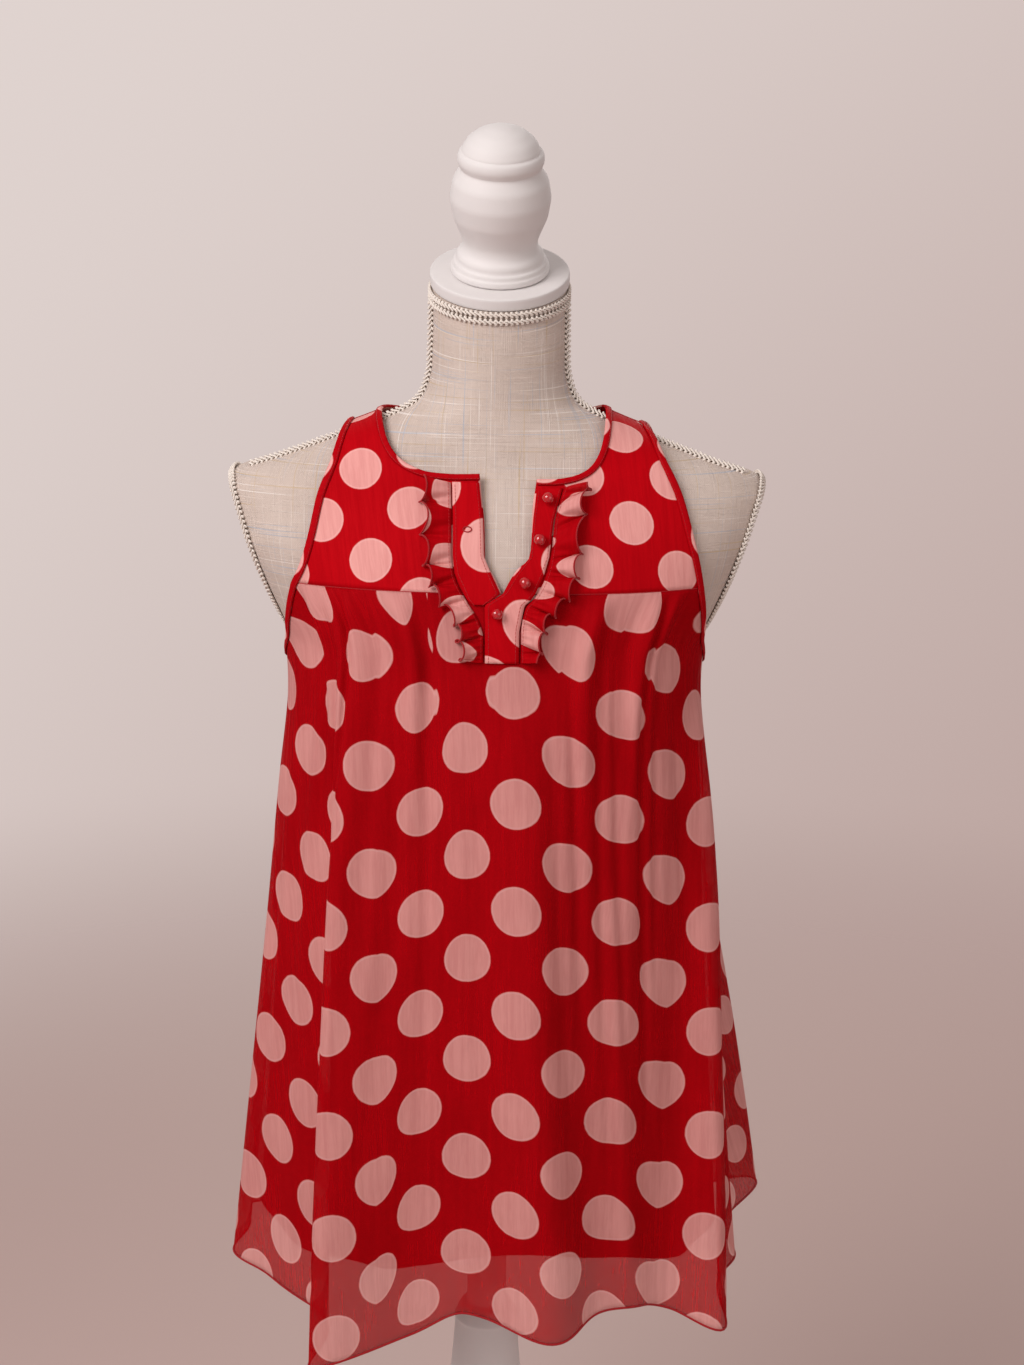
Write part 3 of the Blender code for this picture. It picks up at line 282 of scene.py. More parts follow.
# Turned pieces, from the top down; the finial's and the cap's heights are above the cap's top
FINIAL_TURNING = [
    Turning(0.1095, 0.0000), Turning(0.1085, 0.0080), Turning(0.1050, 0.0170), Turning(0.0990, 0.0245),
    Turning(0.0930, 0.0280), Turning(0.0915, 0.0280), Turning(0.0900, 0.0305), Turning(0.0850, 0.0315),
    Turning(0.0810, 0.0300), Turning(0.0790, 0.0290), Turning(0.0700, 0.0345), Turning(0.0570, 0.0367),
    Turning(0.0430, 0.0345), Turning(0.0310, 0.0295), Turning(0.0240, 0.0272), Turning(0.0180, 0.0282),
    Turning(0.0145, 0.0320), Turning(0.0100, 0.0322), Turning(0.0090, 0.0345), Turning(0.0060, 0.0348),
    Turning(0.0050, 0.0364), Turning(SEAM_GAP, 0.0364), Turning(SEAM_GAP, 0.0000),
]
CAP_TURNING = [
    Turning(0.0, 0.0000), Turning(0.0, CAP_RADIUS - 0.001), Turning(-0.0010, CAP_RADIUS),
    Turning(-CAP_THICKNESS + 0.001, CAP_RADIUS), Turning(-CAP_THICKNESS, CAP_RADIUS - 0.001),
    Turning(-CAP_THICKNESS, 0.0000),
]
POLE_TURNING = [
    Turning(FORM_BOTTOM - SEAM_GAP, 0.0000), Turning(FORM_BOTTOM - SEAM_GAP, 0.0160),
    Turning(0.4520, 0.0160), Turning(0.4490, 0.0215), Turning(0.4430, 0.0240), Turning(0.4380, 0.0262),
    Turning(0.4360, 0.0256), Turning(0.4120, 0.0270), Turning(0.3890, 0.0290), Turning(0.3300, 0.0330),
    Turning(0.2500, 0.0345), Turning(0.1600, 0.0300), Turning(0.1000, 0.0275), Turning(0.0650, 0.0330),
    Turning(0.0450, 0.0430), Turning(FOOT_TOP + SEAM_GAP, 0.0450), Turning(FOOT_TOP + SEAM_GAP, 0.0000),
]
FOOT_TURNING = [
    Turning(FOOT_TOP, 0.0000), Turning(FOOT_TOP, 0.0550), Turning(0.0310, 0.0750), Turning(0.0220, 0.1150),
    Turning(0.0170, 0.1430), Turning(0.0120, 0.1500), Turning(0.0, 0.1500), Turning(0.0, 0.0000),
]

# Fine cloth in the scene: wall, rows and columns, hems and seams
THIN = 0.0003
SKIRT_STEPS = (34, 130, 130)
LINING_STEPS = (16, 50, 60)
ROW_EASE = 1.15
SHOULDER_STEPS = 10
BACK_SHOULDER_SHARE = 0.16
CHEST_ARC_STEPS = 40
CHEST_TOP = 1.130
HEM_ROLL = 0.0009
LINING_ROLL = 0.0006
SEAM_ROLL = 0.0007
SEAM_STEPS = 60
SHOULDER_SEAM_STEPS = 24
UNDERARM_STEPS = 60
OVERLOCK = 0.0006
STRIP_ROWS = 60
STRIP_COLUMNS = 9
STRIP_CROWN = 0.0003
STRIP_WALL = 0.0006
STRIP_ROUNDNESS = 0.5
STRIP_SEAMS = (0.10, 0.90)
STRIP_SEAM_CROWN = 0.7
GATHER_HEIGHT = 0.0014
GATHERS_PER_WAVE = 3.0
GATHER_DRIFT = (2.0, 7.0)
GATHER_REACH = 0.6
FRILL_SWAY = 0.0036
FRILL_SWAY_GROWTH = 1.5
FRILL_PULL = 0.32
FRILL_HEIGHT = 0.0104
BINDING_STEP = 0.0022
BINDING_PROFILE = ((0.10, -0.0007), (0.0, -0.0002), (-0.02, 0.0005), (0.08, 0.0013), (0.30, 0.0016),
                   (0.60, 0.0016), (0.82, 0.0014), (1.0, 0.0009))
BINDING_STITCH_ROW = 6
STITCH_LENGTH = 0.0026
THREAD = 0.00016
SHANK = 0.0008
SHANK_SPAN = (1.1, 0.7)
BUTTON_SIDES = 28
BUTTON_RINGS = 18
BUTTON_FLATNESS = 0.94
LOOP_CORD = 0.00045
LOOP_PLACE = Place(-0.0200, 1.1130)
LOOP_HALF_WIDTH = 0.0030
LOOP_HALF_HEIGHT = 0.0018
LOOP_STEPS = 24

# Gimp braid, form and turned wood
GIMP_CORD = 0.00075
# Core cord under the loops; its dark colour is painted shadow seen through them
GIMP_CORE = 0.0010
GIMP_PITCH = 0.0074
GIMP_FORWARD = 12.0
GIMP_LEAN = 0.80
GIMP_STEP = 0.00030
GIMP_RISE = 2.2
GIMP_CROSSING = 0.9
GIMP_SWIRL = 0.175
NECK_BAND_STEPS = 120
PLATE_BRAID_WIDTH = 0.0070
PLATE_BRAID_STEP = 0.002
FORM_SIDES = 160
FORM_LOW_ROWS = 70
FORM_HIGH_ROWS = 170
FORM_EDGE_ANGLE = math.radians(35)
TURNED_SIDES = 96
TURNED_EDGE_ANGLE = math.radians(50)
TURNED_EDGES = {"finial": 0.0015, "neck_cap": 0.0012, "pole": 0.0015, "foot": 0.0040}

# Small creases of the skirt: angle at the yoke and at the hem, the heights between which each runs,
# its depth (a trough where below zero) and its width in degrees
Crease = namedtuple("Crease", "top hem high low depth width")
CREASES = [
    Crease(-50, -60, 1.060, 0.700, 0.0020, 2.4),
    Crease(-48.5, -49, 1.068, 0.900, -0.0022, 1.6),
    Crease(-42, -43, 1.068, 0.860, -0.0030, 1.5),
    Crease(-35.5, -37, 1.068, 0.760, -0.0032, 1.5),
    Crease(-28, -25, 1.068, 0.620, -0.0034, 1.9),
    Crease(-23, -21, 1.066, 0.560, -0.0028, 1.8),
    Crease(-15, -14, 1.068, 0.640, -0.0026, 1.9),
    Crease(-9, -3, 1.030, 0.640, 0.0016, 2.4),
    Crease(-4, 1, 1.020, 0.560, -0.0018, 2.2),
    Crease(11, 20, 1.030, 0.600, -0.0022, 2.4),
    Crease(18, 24, 1.068, 0.700, -0.0028, 1.7),
    Crease(26, 29, 1.068, 0.540, -0.0030, 1.8),
    Crease(31, 35, 1.066, 0.700, -0.0024, 1.7),
    Crease(33.5, 38, 1.068, 0.900, -0.0026, 1.5),
    Crease(40.5, 41, 1.068, 0.640, -0.0032, 1.5),
    Crease(47, 44, 1.068, 0.760, -0.0026, 1.6),
    Crease(54, 65, 1.040, 0.620, -0.0020, 2.4),
    Crease(70, 71, 1.000, 0.560, 0.0022, 2.6),
    Crease(92, 93, 0.980, 0.540, -0.0022, 3.0),
    Crease(115, 118, 1.030, 0.560, 0.0024, 2.6),
    Crease(121, 122, 1.050, 0.620, -0.0026, 2.2),
    Crease(133, 136, 1.068, 0.700, -0.0024, 2.0),
    Crease(143, 143, 1.068, 0.560, -0.0032, 2.0),
    Crease(147, 148, 1.068, 0.860, -0.0026, 1.6),
    Crease(157, 162, 1.068, 0.620, -0.0028, 1.8),
    Crease(163, 168, 1.062, 0.540, -0.0026, 2.0),
    Crease(173, 176, 1.068, 0.600, -0.0026, 1.9),
    Crease(-174, -178, 1.068, 0.700, -0.0024, 1.9),
    Crease(-160, -159, 1.068, 0.560, -0.0030, 2.0),
    Crease(-155, -155, 1.060, 0.620, -0.0024, 1.7),
    Crease(-144, -138, 1.068, 0.540, -0.0030, 2.0),
    Crease(-131, -131, 1.060, 0.640, -0.0026, 2.0),
    Crease(-112, -114, 1.020, 0.560, -0.0024, 2.8),
    Crease(-88, -91, 0.980, 0.540, -0.0022, 2.8),
    Crease(-66, -66, 1.010, 0.600, 0.0022, 2.6),
]

# Cloth taken up by each tuck at the yoke seam, how far down it opens out, and the tuck's width in degrees
TUCK_TAKE = 0.012
TUCK_OPEN = 0.045
TUCK_NIP = 1.1

# How sharply a small crease fades at its two ends
CREASE_FADE = 0.8

# Fields for the cut of a piece of cloth: width and length in metres, its flat area, how it is held and what
# it lies on; no piece is given one here
Cut = namedtuple("Cut", "width length area held rests_on")

# Print of dots: spacing across and down, radius, how its edge wavers and blurs, and its rim
DOT_ACROSS = 0.0745
DOT_DOWN = 0.0784
DOT_RADIUS = 0.0183
DOT_WOBBLE = 0.0006
DOT_WOBBLE_SCALE = 220.0
DOT_BLUR = 0.0004
DOT_RIM_WIDTH = 0.0010
RIM_SHARE = 0.6

# How the print runs on each piece, from its flat places: shares of x, of y and a shift, for each way
Grain = namedtuple("Grain", "across down")
GRAINS = {
    "skirt_front": Grain((1.0, 0.0105, -0.0145), (0.0010, 1.0, 0.1486)),
    "skirt_back": Grain((1.0, 0.0, 0.0100), (0.0, 1.0, 0.0240)),
    "front_yoke_left": Grain((1.1434, 0.1555, 0.0987), (-0.2505, 1.1478, -0.1252)),
    "front_yoke_right": Grain((1.1420, 0.1276, -0.1187), (0.1286, 1.1647, -0.1498)),
    "back_yoke": Grain((1.0, 0.0, 0.0200), (0.0, 1.0, 0.0100)),
    "placket_left": Grain((1.0, 0.0, 0.0060), (0.0, 1.0, -0.0054)),
    "placket_right": Grain((1.0, 0.26, -0.2975), (0.0, 1.0, -0.0290)),
    "ruffle_left": Grain((1.0, 0.0, 0.0300), (0.0, 1.0, 0.0120)),
    "ruffle_right": Grain((1.0, 0.0, 0.0120), (0.0, 1.0, 0.0280)),
    "neck_binding": Grain((1.0, 0.0, 0.0200), (0.0, 1.0, 0.0150)),
    "armhole_binding_left": Grain((1.0, 0.0, 0.0100), (0.0, 1.0, 0.0150)),
    "armhole_binding_right": Grain((1.0, 0.0, 0.0300), (0.0, 1.0, 0.0150)),
}

# How the gathers shift the front skirt's print: at each place across, the shift across and down at the
# yoke seam, and how much each changes with each metre up
PrintShift = namedtuple("PrintShift", "x across lean down drop")
PRINT_SHIFTS = [
    PrintShift(-0.088, 0.0004, 0.019, 0.0145, -0.015), PrintShift(-0.055, -0.0065, -0.015, 0.0118, 0.015),
    PrintShift(-0.020, -0.0010, -0.004, -0.0013, -0.003), PrintShift(0.018, 0.0023, 0.009, -0.0018, -0.006),
    PrintShift(0.059, -0.0018, 0.008, 0.0122, 0.007), PrintShift(0.103, -0.0108, 0.0, 0.0188, 0.008),
    PrintShift(0.153, -0.0175, 0.016, 0.0269, -0.029),
]

# How much light the sheer cloths stop, and the colours, as linear red, green and blue
SHEER_ALPHA = 0.66
RUFFLE_ALPHA = 0.86
CHIFFON_RED = (0.520, 0.0010, 0.0055, 1.0)
BINDING_RED = (0.480, 0.0010, 0.0055, 1.0)
LINING_RED = (0.480, 0.0006, 0.0040, 1.0)
DOT_PALE = (0.860, 0.400, 0.370, 1.0)
# Dot colour in painted crinkle shade and in darker clouds
DOT_SHADE = (0.740, 0.310, 0.290, 1.0)
DOT_RIM = (0.900, 0.480, 0.450, 1.0)
LINEN_PALE = (0.770, 0.655, 0.585, 1.0)
LINEN_SHADE = (0.530, 0.425, 0.365, 1.0)
LINEN_WHITE = (0.920, 0.850, 0.800, 1.0)
LINEN_FLAX = (0.600, 0.450, 0.280, 1.0)
LINEN_BLUE = (0.480, 0.500, 0.560, 1.0)
# The gimp's core: dark as painted shadow seen through the braid's loops
GIMP_CORE_SHADOW_DARK = (0.120, 0.085, 0.060, 1.0)
GIMP_CORE_SHADOW_PALE = (0.260, 0.200, 0.150, 1.0)
# Yarns: each dark colour is painted shade between the plies, mixed with random fuzz tone
GIMP_DARK = (0.740, 0.650, 0.570, 1.0)
GIMP_PALE = (0.960, 0.900, 0.840, 1.0)
EDGE_DARK = (0.330, 0.0010, 0.0050, 1.0)
EDGE_RED = (0.460, 0.0020, 0.0080, 1.0)
THREAD_DARK = (0.440, 0.0015, 0.0060, 1.0)
THREAD_RED = (0.560, 0.0060, 0.0160, 1.0)
PAINT_WHITE = (0.820, 0.760, 0.750, 1.0)
PAINT_GREY = (0.640, 0.570, 0.560, 1.0)
BUTTON_RED = (0.560, 0.0030, 0.0100, 1.0)
BUTTON_DARK = (0.380, 0.0015, 0.0060, 1.0)
FLOOR_PALE = (0.600, 0.455, 0.425, 1.0)

# Finishes: roughness where the surface is dull and where it is smooth, depth and strength of its relief
Finish = namedtuple("Finish", "rough smooth relief strength specular sheen coat coat_roughness",
                    defaults=(0.5, 0.0, 0.0, 0.1))
CHIFFON_FINISH = Finish(0.76, 0.62, 0.00035, 0.8, specular=0.03)
LINING_FINISH = Finish(0.63, 0.50, 0.00012, 0.6, specular=0.05)
LINEN_FINISH = Finish(0.92, 0.78, 0.00030, 0.9, specular=0.25, sheen=0.08)
YARN_FINISH = Finish(0.72, 0.52, 0.00018, 0.8, specular=0.3, sheen=0.15)
PAINT_FINISH = Finish(0.44, 0.28, 0.00012, 0.5, coat=0.35, coat_roughness=0.22)
BUTTON_FINISH = Finish(0.30, 0.16, 0.00010, 0.4, coat=0.9, coat_roughness=0.08)
FLOOR_FINISH = Finish(0.9, 0.9, 0.0, 0.0, specular=0.2)
SHEEN_ROUGHNESS = 0.5
GLOSS_SPAN = (0.3, 0.7)

# Noise: how often it changes in each metre each way, its detail, roughness and distortion
Speckle = namedtuple("Speckle", "scale detail roughness distortion", defaults=(0.5, 0.0))
FINE_CRINKLES = Speckle((900.0, 70.0, 1.0), 3.0, 0.6, 0.4)
BROAD_CRINKLES = Speckle((260.0, 14.0, 1.0), 2.0, 0.5, 0.3)
THREAD_BENDS = Speckle((45.0, 45.0, 45.0), 2.0)
WARP_SLUBS = Speckle((1300.0, 22.0, 1.0), 2.0)
WEFT_SLUBS = Speckle((22.0, 1300.0, 1.0), 2.0)
YARN_FUZZ = Speckle((900.0, 900.0, 900.0), 3.0)
CLOUDS = Speckle((16.0, 16.0, 16.0), 4.0, 0.55)
TURNING_LINES = Speckle((8.0, 8.0, 900.0), 2.0)
GRIME = Speckle((70.0, 70.0, 70.0), 5.0, 0.65)
BUTTON_GRAIN = Speckle((500.0, 500.0, 500.0), 3.0)
LINEN_THREADS = [
    (Speckle((900.0, 7.0, 1.0), 1.0), LINEN_WHITE), (Speckle((7.0, 900.0, 1.0), 1.0), LINEN_WHITE),
    (Speckle((700.0, 9.0, 2.0), 1.0), LINEN_FLAX), (Speckle((9.0, 700.0, 2.0), 1.0), LINEN_FLAX),
    (Speckle((800.0, 8.0, 3.0), 1.0), LINEN_BLUE), (Speckle((8.0, 800.0, 3.0), 1.0), LINEN_BLUE),
]
LINEN_RUN_SPAN = (0.66, 0.72)
LINEN_RUN_SHARE = 0.75

# Shares of the crinkles, threads, plies and clouds in the height and tone of each material
BROAD_SHARE = 0.6
# Crinkle heights over which the chiffon goes from painted shade in the troughs to full colour
CRINKLE_SHADE_SPAN = (0.36, 0.64)
CHIFFON_CLOUD = 0.35
# Share of the red kept in painted crinkle shade and in darker clouds
CHIFFON_SHADE = 0.82
THREAD_BEND = 1.6
THREAD_RISE = 0.6
OVER_SHADE = 0.18
SLUB_SHADE = 0.6
SLUB_SPAN = (0.52, 0.72)
WEAVE_SHADE = 0.35
LINING_PITCH = 0.0004
LINING_SLUB = 0.15
LINING_SHADE = 0.75
LINEN_PITCH = 0.00085
LINEN_SLUB = 0.7
LINEN_CLOUD = 0.3
LINEN_WEAVE = 0.9
PLY_RISE = 0.3
YARN_SPAN = (0.1, 0.9)
GIMP_PLY = 0.0011
EDGE_PLY = 0.0006
SEWING_PLY = 0.0005
CLOUD_SPAN = (0.32, 0.68)
GRIME_SHARE = 0.4
GRIME_SPAN = (0.35, 0.6)

# Camera, light and floor
CAMERA_DOWN = math.radians(14)
CAMERA_ROLL = 0.0153
CAMERA_AWAY = 1.58
CAMERA_AIM = (0.0135, 0.0, 0.98)
SENSOR = 36.0
PHOTO_FOCUS = 2050
PHOTO_HEIGHT = 1365
Lamp = namedtuple("Lamp", "name place aim size power colour")
LAMPS = [
    Lamp("window_light", (-1.35, -1.45, 2.35), (0.0, 0.0, 1.00), 1.5, 42.0, (1.0, 0.96, 0.95)),
    Lamp("soft_fill", (1.70, -1.70, 1.50), (0.0, 0.0, 0.95), 2.0, 10.0, (1.0, 0.95, 0.92)),
    Lamp("back_fill", (0.60, 2.00, 2.10), (0.0, 0.0, 1.00), 1.8, 16.0, (1.0, 0.97, 0.95)),
]
WALL_LIT = (0.745, 0.655, 0.628, 1.0)
WALL_DIM = (0.460, 0.325, 0.300, 1.0)
WALL_TOWARD = (-0.62, -0.25, 0.74)
WALL_SPAN = (-0.85, 0.0)
ROOM_STRENGTH = 0.50
FLOOR_RADIUS = 3.2
FLOOR_HOLE = 0.001
FLOOR_DROP = 0.0005
FLOOR_RINGS = 12
FLOOR_SIDES = 64
FLOOR_FADE = (0.9, FLOOR_RADIUS - 0.1)


# Rings and edges that the pieces are cut from

def eased(knots, values, at):
    """Smooth curve through values at rising knots, without overshoot."""
    knots = np.asarray(knots, float)
    values = np.asarray(values, float)
    steps = np.diff(values) / np.diff(knots)
    slopes = np.zeros_like(values)
    slopes[0] = steps[0]
    slopes[-1] = steps[-1]
    before, after = steps[:-1], steps[1:]
    rising = before * after > 0
    slopes[1:-1][rising] = 2 * (before * after)[rising] / (before + after)[rising]
    at = np.clip(at, knots[0], knots[-1])
    low = np.clip(np.searchsorted(knots, at, side="right") - 1, 0, len(knots) - 2)
    gap = knots[low + 1] - knots[low]
    t = (at - knots[low]) / gap
    return (values[low] * (1 + 2 * t) * (1 - t) ** 2 + slopes[low] * gap * t * (1 - t) ** 2
            + values[low + 1] * t * t * (3 - 2 * t) - slopes[low + 1] * gap * t * t * (1 - t))


def column(rows, name, at, key="z"):
    """One column of a table at a value of its key column."""
    return eased([getattr(row, key) for row in rows], [getattr(row, name) for row in rows], at)


def cloth_sections():
    """The cloth's own rings: eased off the form at the top, the flaring skirt below."""
    worn = []
    for row in FORM_SECTIONS:
        if row.z >= PLATE_LOW:
            lift = EASE if row.z >= SHOULDER_TIP else 0.0
            worn.append(Section(row.z + lift, row.half_width + EASE, row.front + EASE,
                                row.back + EASE, row.roundness))
    return SKIRT_SECTIONS + worn


CLOTH_SECTIONS = cloth_sections()


def signed_power(value, power):
    return np.sign(value) * np.abs(value) ** power


def ring(rows, angle, z):
    """Points of the rings in a table, at angles and heights of the same shape."""
    angle, z = np.broadcast_arrays(np.asarray(angle, float), np.asarray(z, float))
    across = np.sin(np.radians(angle))
    along = np.cos(np.radians(angle))
    power = 2 / column(rows, "roundness", z)
    depth = np.where(along > 0, column(rows, "front", z), column(rows, "back", z))
    x = column(rows, "half_width", z) * signed_power(across, power)
    y = -depth * signed_power(along, power)
    return np.stack([x, y, z], axis=-1)


def angle_of(rows, x, z, back=False):
    """Angle at which the ring at height z passes x, in front or behind."""
    share = np.clip(np.abs(x) / column(rows, "half_width", z), 0.0, 1.0)
    angle = np.degrees(np.arcsin(share ** (column(rows, "roundness", z) / 2)))
    angle = np.where(back, 180.0 - angle, angle)
    return np.where(np.asarray(x) < 0, -angle, angle)


def unit(vectors):
    return vectors / np.linalg.norm(vectors, axis=-1, keepdims=True)


def outward(rows, angle, z):
    """Direction straight out of a ring surface."""
    turn = 0.5
    rise = 0.001
    round_way = ring(rows, angle + turn, z) - ring(rows, angle - turn, z)
    up_way = ring(rows, angle, z + rise) - ring(rows, angle, z - rise)
    return unit(np.cross(round_way, up_way))


def ridge_height(x):
    """Height of the cloth on the shoulder ridge at x, carried on straight across the neck."""
    heights = np.linspace(SHOULDER_TIP + EASE, NECK_TOP, RIDGE_STEPS)
    widths = column(CLOTH_SECTIONS, "half_width", heights)
    outside = np.maximum(np.abs(x), SHOULDER_INNER_RIGHT)
    inside = outside - np.abs(x)
    return np.interp(outside, widths[::-1], heights[::-1]) + NECK_RISE * inside


def ridge_place(x):
    return Place(x, float(ridge_height(x)))


def rise_of(x, z):
    """Share of the way from the yoke seam to the shoulder ridge, easing at the ridge."""
    share = (z - YOKE_SEAM) / (ridge_height(x) - YOKE_SEAM)
    return np.arcsin(np.clip(share, 0.0, 1.0)) / (math.pi / 2)


def along_edge(places, share):
    """(x, rise) at shares of an edge's length."""
    x = np.array([place.x for place in places])
    z = np.array([place.z for place in places])
    length = np.concatenate([[0.0], np.cumsum(np.hypot(np.diff(x), np.diff(z)))])
    at_x = eased(length / length[-1], x, share)
    at_z = eased(length / length[-1], z, share)
    return np.stack([at_x, rise_of(at_x, at_z)], axis=-1)


def climb_edge(places):
    """(x, rise) up an edge that only climbs, at the yoke's rows."""
    x = np.array([place.x for place in places])
    rise = rise_of(x, np.array([place.z for place in places]))
    at_rise = rise[-1] * np.array(YOKE_RISES)
    return np.stack([eased(rise, x, at_rise), at_rise], axis=-1)


def shoulder_line(start_x, end_x, share):
    x = start_x + (end_x - start_x) * share
    return np.stack([x, np.ones_like(x)], axis=-1)


def worn_point(x, rise, back=False):
    """Middle of the yoke's cloth at x and a rise, half a seam gap off the shoulder seam."""
    z = YOKE_SEAM + (ridge_height(x) - YOKE_SEAM) * np.sin(rise * math.pi / 2)
    point = ring(CLOTH_SECTIONS, angle_of(CLOTH_SECTIONS, x, z, back), z)
    point[..., 1] += SEAM_GAP / 2 if back else -SEAM_GAP / 2
    return point


def yoke_grid(top, bottom, start, end, shares, back=False):
    """Grid between four edges given as (x, rise): bottom and top run from start to end."""
    v = np.array(YOKE_RISES)[:, None, None]
    u = np.asarray(shares)[None, :, None]
    start = start[:, None, :]
    end = end[:, None, :]
    blend = (1 - v) * bottom[None] + v * top[None] + (1 - u) * start + u * end
    corners = ((1 - v) * ((1 - u) * bottom[0] + u * bottom[-1])
               + v * ((1 - u) * top[0] + u * top[-1]))
    flat = blend - corners
    grid = worn_point(flat[..., 0], flat[..., 1], back)
    grid[0, :, 2] += SEAM_GAP / 2
    return grid


def yoke_corner(armhole):
    """Angle at which the yoke seam ends at an armhole."""
    return float(np.abs(angle_of(CLOTH_SECTIONS, armhole[0].x, YOKE_SEAM)))


CORNER_LEFT = yoke_corner(ARMHOLE_LEFT)
CORNER_RIGHT = yoke_corner(ARMHOLE_RIGHT)


def skirt_top(angle):
    """Height of the skirt's top edge: the yoke seam, dipping round each armhole."""
    from_side = np.abs(90.0 - np.abs(angle))
    corner = 90.0 - np.where(angle < 0, CORNER_LEFT, CORNER_RIGHT)
    share = np.clip(from_side / corner, 0.0, 1.0)
    return YOKE_SEAM - SEAM_GAP / 2 - (YOKE_SEAM - ARMHOLE_LOW) * (1 - share ** ARMHOLE_ROUNDNESS)


def wrapped(angle):
    return (angle + 180.0) % 360.0 - 180.0


def fold_shift(angle, z):
    """How far folds and tucks carry the cloth outward and sideways."""
    lift = np.zeros_like(angle)
    slide = np.zeros_like(angle)
    below = np.clip(YOKE_SEAM - z, 0.0, None)
    drop = below / (YOKE_SEAM - HEM_HEIGHT)
    for fold in FOLDS:
        grown = np.clip((fold.start - z) / (fold.start - HEM_HEIGHT), 0.0, FOLD_LIMIT)
        centre = fold.top + (fold.hem - fold.top) * drop
        bump = grown ** FOLD_GROWTH * np.exp(-(wrapped(angle - centre) / fold.width) ** 2)
        lift += fold.depth * bump
        slide += fold.lean * bump
    for tuck in TUCKS:
        swell = below / tuck.length * np.exp(1 - below / tuck.length)
        bump = swell * np.exp(-(wrapped(angle - tuck.angle) / tuck.width) ** 2)
        lift += tuck.depth * bump
        slide += tuck.lean * bump
    return lift, slide


def skirt_point(angle, z):
    """Middle of the skirt's cloth."""
    angle, z = np.broadcast_arrays(np.asarray(angle, float), np.asarray(z, float))
    turn = 0.5
    tangent = ring(CLOTH_SECTIONS, angle + turn, z) - ring(CLOTH_SECTIONS, angle - turn, z)
    tangent = unit(tangent)
    out = np.stack([tangent[..., 1], -tangent[..., 0], np.zeros_like(z)], axis=-1)
    lift, slide = fold_shift(angle, z)
    return ring(CLOTH_SECTIONS, angle, z) + out * lift[..., None] + tangent * slide[..., None]


def lining_point(angle, z):
    """Middle of the lining's cloth, inside the skirt's deepest valleys."""
    angle, z = np.broadcast_arrays(np.asarray(angle, float), np.asarray(z, float))
    drop = np.clip((YOKE_SEAM - z) / (YOKE_SEAM - HEM_HEIGHT), 0.0, 1.0)
    wave = 0.5 + 0.5 * np.cos(np.radians(angle * LINING_WAVES))
    fall = 1 - np.exp(-np.clip(skirt_top(angle) - z, 0.0, None) / LINING_FALL_HEIGHT)
    draw = (LINING_DRAW + LINING_WAVE_DEPTH * wave) * drop ** LINING_GROWTH
    inset = LINING_INSET + LINING_FALL * fall + draw
    out = outward(CLOTH_SECTIONS, angle, z)
    out[..., 2] = 0.0
    return ring(CLOTH_SECTIONS, angle, z) - unit(out) * inset[..., None]


def panel_columns(side_steps, middle_steps, first_corner, last_corner, back=False):
    """Angles of a skirt panel's columns, one at each end of the yoke seam."""
    columns = np.concatenate([
        [-90.0, -90.0 + SEAM_COLUMN],
        np.linspace(-90.0, -first_corner, side_steps + 1)[1:],
        np.linspace(-first_corner, last_corner, middle_steps + 1)[1:],
        np.linspace(last_corner, 90.0, side_steps + 1)[1:-1],
        [90.0 - SEAM_COLUMN, 90.0],
    ])
    return columns + 180.0 if back else columns


def wrapped_panel(angle):
    """Angles brought into -180 to 180 without moving the side seams."""
    return np.where(angle > 180.0, angle - 360.0, angle)


def back_to_ring(points):
    """Angle and height of points that lie near the cloth."""
    z = points[..., 2]
    power = column(CLOTH_SECTIONS, "roundness", z) / 2
    depth = np.where(points[..., 1] < 0, column(CLOTH_SECTIONS, "front", z),
                     column(CLOTH_SECTIONS, "back", z))
    across = signed_power(points[..., 0] / column(CLOTH_SECTIONS, "half_width", z), power)
    along = signed_power(-points[..., 1] / depth, power)
    return np.degrees(np.arctan2(across, along)), z


def edge_on_cloth(flat, back=False):
    """Angles and heights of an edge of the yoke given as (x, rise)."""
    z = YOKE_SEAM + (ridge_height(flat[:, 0]) - YOKE_SEAM) * np.sin(flat[:, 1] * math.pi / 2)
    return angle_of(CLOTH_SECTIONS, flat[:, 0], z, back), z


def plate_x(z):
    """Half width of the form at the flat arm plates."""
    low = column(FORM_SECTIONS, "half_width", PLATE_LOW)
    high = column(FORM_SECTIONS, "half_width", SHOULDER_TIP)
    return low + (high - low) * (z - PLATE_LOW) / (SHOULDER_TIP - PLATE_LOW)


def form_point(angle, z):
    """Point of the form, cut flat at the arm plates and tilted at the neck."""
    point = ring(FORM_SECTIONS, angle, z)
    limit = np.where(z >= PLATE_LOW, plate_x(z), 1.0)
    point[..., 0] = np.clip(point[..., 0], -limit, limit)
    neck_share = np.clip((z - NECK_BASE) / (NECK_TOP - NECK_BASE), 0.0, 1.0)
    point[..., 2] += point[..., 1] * math.tan(NECK_TILT) * neck_share
    return point


# Meshes

def grid_faces(rows, columns, wrap=False):
    """Corner numbers of the faces of a grid of points."""
    across = np.arange(columns if wrap else columns - 1)
    after = (across + 1) % columns
    up = np.arange(rows - 1)[:, None] * columns
    corners = [up + across, up + after, up + columns + after, up + columns + across]
    return np.stack(np.broadcast_arrays(*corners), axis=-1).reshape(-1, 4)


